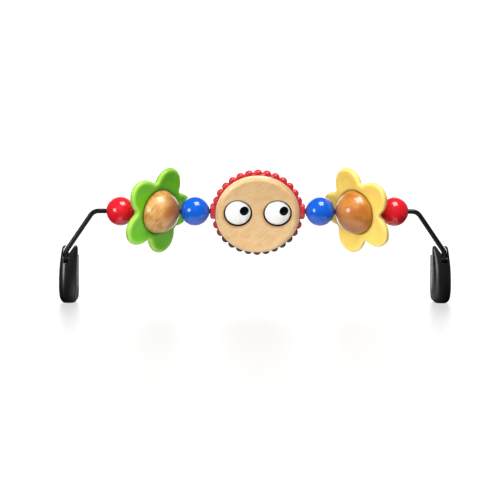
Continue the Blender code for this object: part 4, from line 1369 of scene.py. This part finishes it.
# %% Mould the clips
CLIP_HEIGHT = 0.0585
CLIP_JAW_HEIGHT = 0.0479
CLIP_OUTER = 0.0076
CLIP_TAPER = 0.0040
CLIP_INNER = 0.0113
CLIP_LIP = 0.0118
CLIP_FRONT = 0.0076
CLIP_FRONT_TAPER = 0.0068
CLIP_STEP = 0.0005
CLIP_WALL = 0.0032
CLIP_EASE = 0.00045
CLIP_EASED_ABOVE = math.radians(40.0)
JAW_RADIUS = 0.0072
JAW_MOUTH = 0.0110
JAW_INSET = 0.0062
FRONT_CORNER = 0.0075
OUTER_CORNER = 0.0080
LIP_CORNER = 0.0046
FOOT_RISE = 0.0160
FOOT_TAPER = 0.0008
FOOT_ROUND = 0.0065
FOOT_SIDE = 0.0048
FOOT_FRONT = 0.0022
FOOT_BACK = 0.0014
TOP_ROUND = 0.0034
TOP_SIDE = 0.0018
TOP_FRONT = 0.0006
GROOVE_CLEAR = 0.0004
GROOVE_WALL = 0.0015
PRONG_WALL = 0.0012
SLOT_INNER_CLEAR = 0.0013
SLOT_OUTER_CLEAR = 0.0006
PIN_RADIUS = 0.0014
PIN_INNER = 0.0090
PIN_OUTER = 0.0050
FRONT_CORNER_SHARE = 0.48
SIDE_WIDEST_SHARE = 0.35
FRONT_WIDEST_SHARE = 0.37
CORNER_STEPS = 12
JAW_SIDES = 72
PIN_SIDES = 32

groove_half = ROD_RADIUS + GROOVE_CLEAR
groove_floor = PIN_BORE + EYE_WALL + GROOVE_CLEAR
jaw_y = groove_floor + GROOVE_WALL + JAW_RADIUS
knee_rise = ROD_KNEE_Z - PIVOT_Z
leg_angle = math.atan2(ROD_KNEE_X - ROD_CORNER_X, axis_of["face_spin"].z - ROD_KNEE_Z)


def clip_outline(side, height, side_inset, front_inset, back_inset):
    """The clip cut level at this height above its foot, seen from above, about its pivot."""
    share = height / CLIP_HEIGHT
    narrowing = ((share - SIDE_WIDEST_SHARE) / (1 - SIDE_WIDEST_SHARE)) ** 2
    thinning = ((share - FRONT_WIDEST_SHARE) / (1 - FRONT_WIDEST_SHARE)) ** 2
    outer = CLIP_OUTER - CLIP_TAPER * narrowing - side_inset
    front = CLIP_FRONT_TAPER * thinning - CLIP_FRONT + front_inset
    inner = side_inset - CLIP_INNER
    lip = side_inset - CLIP_LIP
    back = jaw_y + JAW_RADIUS + CLIP_WALL - back_inset
    r = min(FRONT_CORNER, (outer - inner) * FRONT_CORNER_SHARE)
    depth = CLIP_STEP - front
    points = arc((inner + r, CLIP_STEP), r, 2 * QUARTER, 3 * QUARTER, CORNER_STEPS, depth)
    points += arc((outer - r, CLIP_STEP), r, 3 * QUARTER, 4 * QUARTER, CORNER_STEPS, depth)
    r = OUTER_CORNER - side_inset
    points += arc((outer - r, back - r), r, 0, QUARTER, CORNER_STEPS)
    r = LIP_CORNER - back_inset
    points += arc((lip + r, back - r), r, QUARTER, 2 * QUARTER, CORNER_STEPS)
    points += [(lip, CLIP_STEP)]
    return [Vector((side * x, y, height - PIVOT_Z)) for x, y in points]


def clip_levels():
    """Heights above the foot, with the side, front and back insets that round the two ends."""
    steps = 18
    levels = []
    for i in range(steps + 1):
        height = FOOT_RISE * (i / steps) ** 2
        below = max(0, 1 - height / FOOT_ROUND)
        side_inset = FOOT_TAPER * (1 - height / FOOT_RISE) ** 2
        side_inset += (FOOT_SIDE - FOOT_TAPER) * (1 - math.sqrt(1 - below ** 2))
        share = side_inset / FOOT_SIDE
        levels.append((height, side_inset, share * FOOT_FRONT, share * FOOT_BACK))
    steps = 9
    shoulder = CLIP_HEIGHT - TOP_ROUND
    between = 16
    for i in range(1, between):
        levels.append((FOOT_RISE + (shoulder - FOOT_RISE) * i / between, 0, 0, 0))
    for i in range(steps + 1):
        angle = QUARTER * i / steps
        inset = 1 - math.cos(angle)
        level = shoulder + TOP_ROUND * math.sin(angle)
        levels.append((level, inset * TOP_SIDE, inset * TOP_FRONT, inset * TOP_SIDE))
    return levels


def slab(low, high):
    """A box between two corners."""
    low, high = Vector(low), Vector(high)
    return block(high - low, Matrix.Translation((low + high) / 2))


def leg_silhouette(side, inner_half, outer_half, length):
    """The leaning leg seen from the front, widened, from the knee's inner side around."""
    knee = Vector((0, knee_rise))
    up = Vector((-math.sin(leg_angle), math.cos(leg_angle)))
    across = Vector((math.cos(leg_angle), math.sin(leg_angle)))
    inner = knee - across * inner_half
    outer = knee + across * outer_half
    return [Vector((side * p.x, p.y)) for p in (inner, outer, outer + up * length, inner + up * length)]


def clip_cuts(side):
    """Everything that is cut from a clip, about its pivot."""
    over = CLIP_WALL
    top = CLIP_HEIGHT - PIVOT_Z + over
    foot = -PIVOT_Z - over
    back = jaw_y + JAW_RADIUS + CLIP_WALL + over
    reach = CLIP_LIP + over
    front = -CLIP_FRONT - over
    jaw_x = -side * JAW_INSET
    mouth_x = sorted((jaw_x, -side * reach))
    jaw = placed(peg(JAW_RADIUS, foot, top, JAW_SIDES), Matrix.Translation((jaw_x, jaw_y, 0)))
    slot = leg_silhouette(side, ROD_RADIUS + SLOT_INNER_CLEAR, ROD_RADIUS + SLOT_OUTER_CLEAR, CLIP_HEIGHT)
    slot.insert(1, Vector((side * (groove_half - RUNNING_GAP / 2), slot[0].y)))
    swing = leg_silhouette(side, groove_half, groove_half, CLIP_HEIGHT)
    swing = [Vector((way * side * groove_half, RUNNING_GAP)) for way in (-1, 1)] + swing[1:] + swing[:1]
    steps = 18
    swings = []
    for step in range(steps + 1):
        turn = Matrix.Rotation(QUARTER * step / steps, 3, "X")
        swings.append([turn @ Vector((p.x, 0, p.y)) for p in swing])
    pin_ends = sorted((-side * (PIN_INNER + RUNNING_GAP), side * (CLIP_OUTER + over)))
    return [
        slab((-reach, groove_floor + PRONG_WALL, CLIP_JAW_HEIGHT - PIVOT_Z), (reach, back, top)),
        jaw,
        slab((mouth_x[0], jaw_y - JAW_MOUTH / 2, foot), (mouth_x[1], jaw_y + JAW_MOUTH / 2, top)),
        skin([[Vector((p.x, y, p.y)) for p in slot] for y in (front, back)]),
        slab((-groove_half, front, -groove_floor), (groove_half, groove_floor, knee_rise)),
        skin(swings),
        placed(peg(PIN_BORE, *pin_ends, PIN_SIDES), ALONG_X),
    ]


def eased(bm, width):
    """The mesh with its sharp edges softly rounded."""
    thing = loose("blank", bm)
    modifier = thing.modifiers.new("ease", "BEVEL")
    modifier.width = width
    modifier.segments = 2
    modifier.limit_method = "ANGLE"
    modifier.angle_limit = CLIP_EASED_ABOVE
    return settled(thing)


def make_clip(word, side):
    """A clip and the pin that it swings on."""
    pivot = Matrix.Translation(axis_of[word + "_clip_pivot"])
    rings = [clip_outline(side, *level) for level in clip_levels()]
    clip = eased(carved(skin(rings), clip_cuts(side)), CLIP_EASE)
    node, body = word + "_clip", word + "_clip_body"
    clip = finished(node + "_moulded", placed(clip, pivot), body, node, clip_plastic)
    ends = sorted((-side * PIN_INNER, side * PIN_OUTER))
    pin = placed(turned(eased_bar(PIN_RADIUS, *ends, PIN_RADIUS / 4), PIN_SIDES), pivot @ ALONG_X)
    finished(node + "_pin_cut", pin, body, node + "_pin", steel)
    print(word, "clip", len(clip.data.polygons), "faces")


for word, side in SIDES:
    make_clip(word, side)
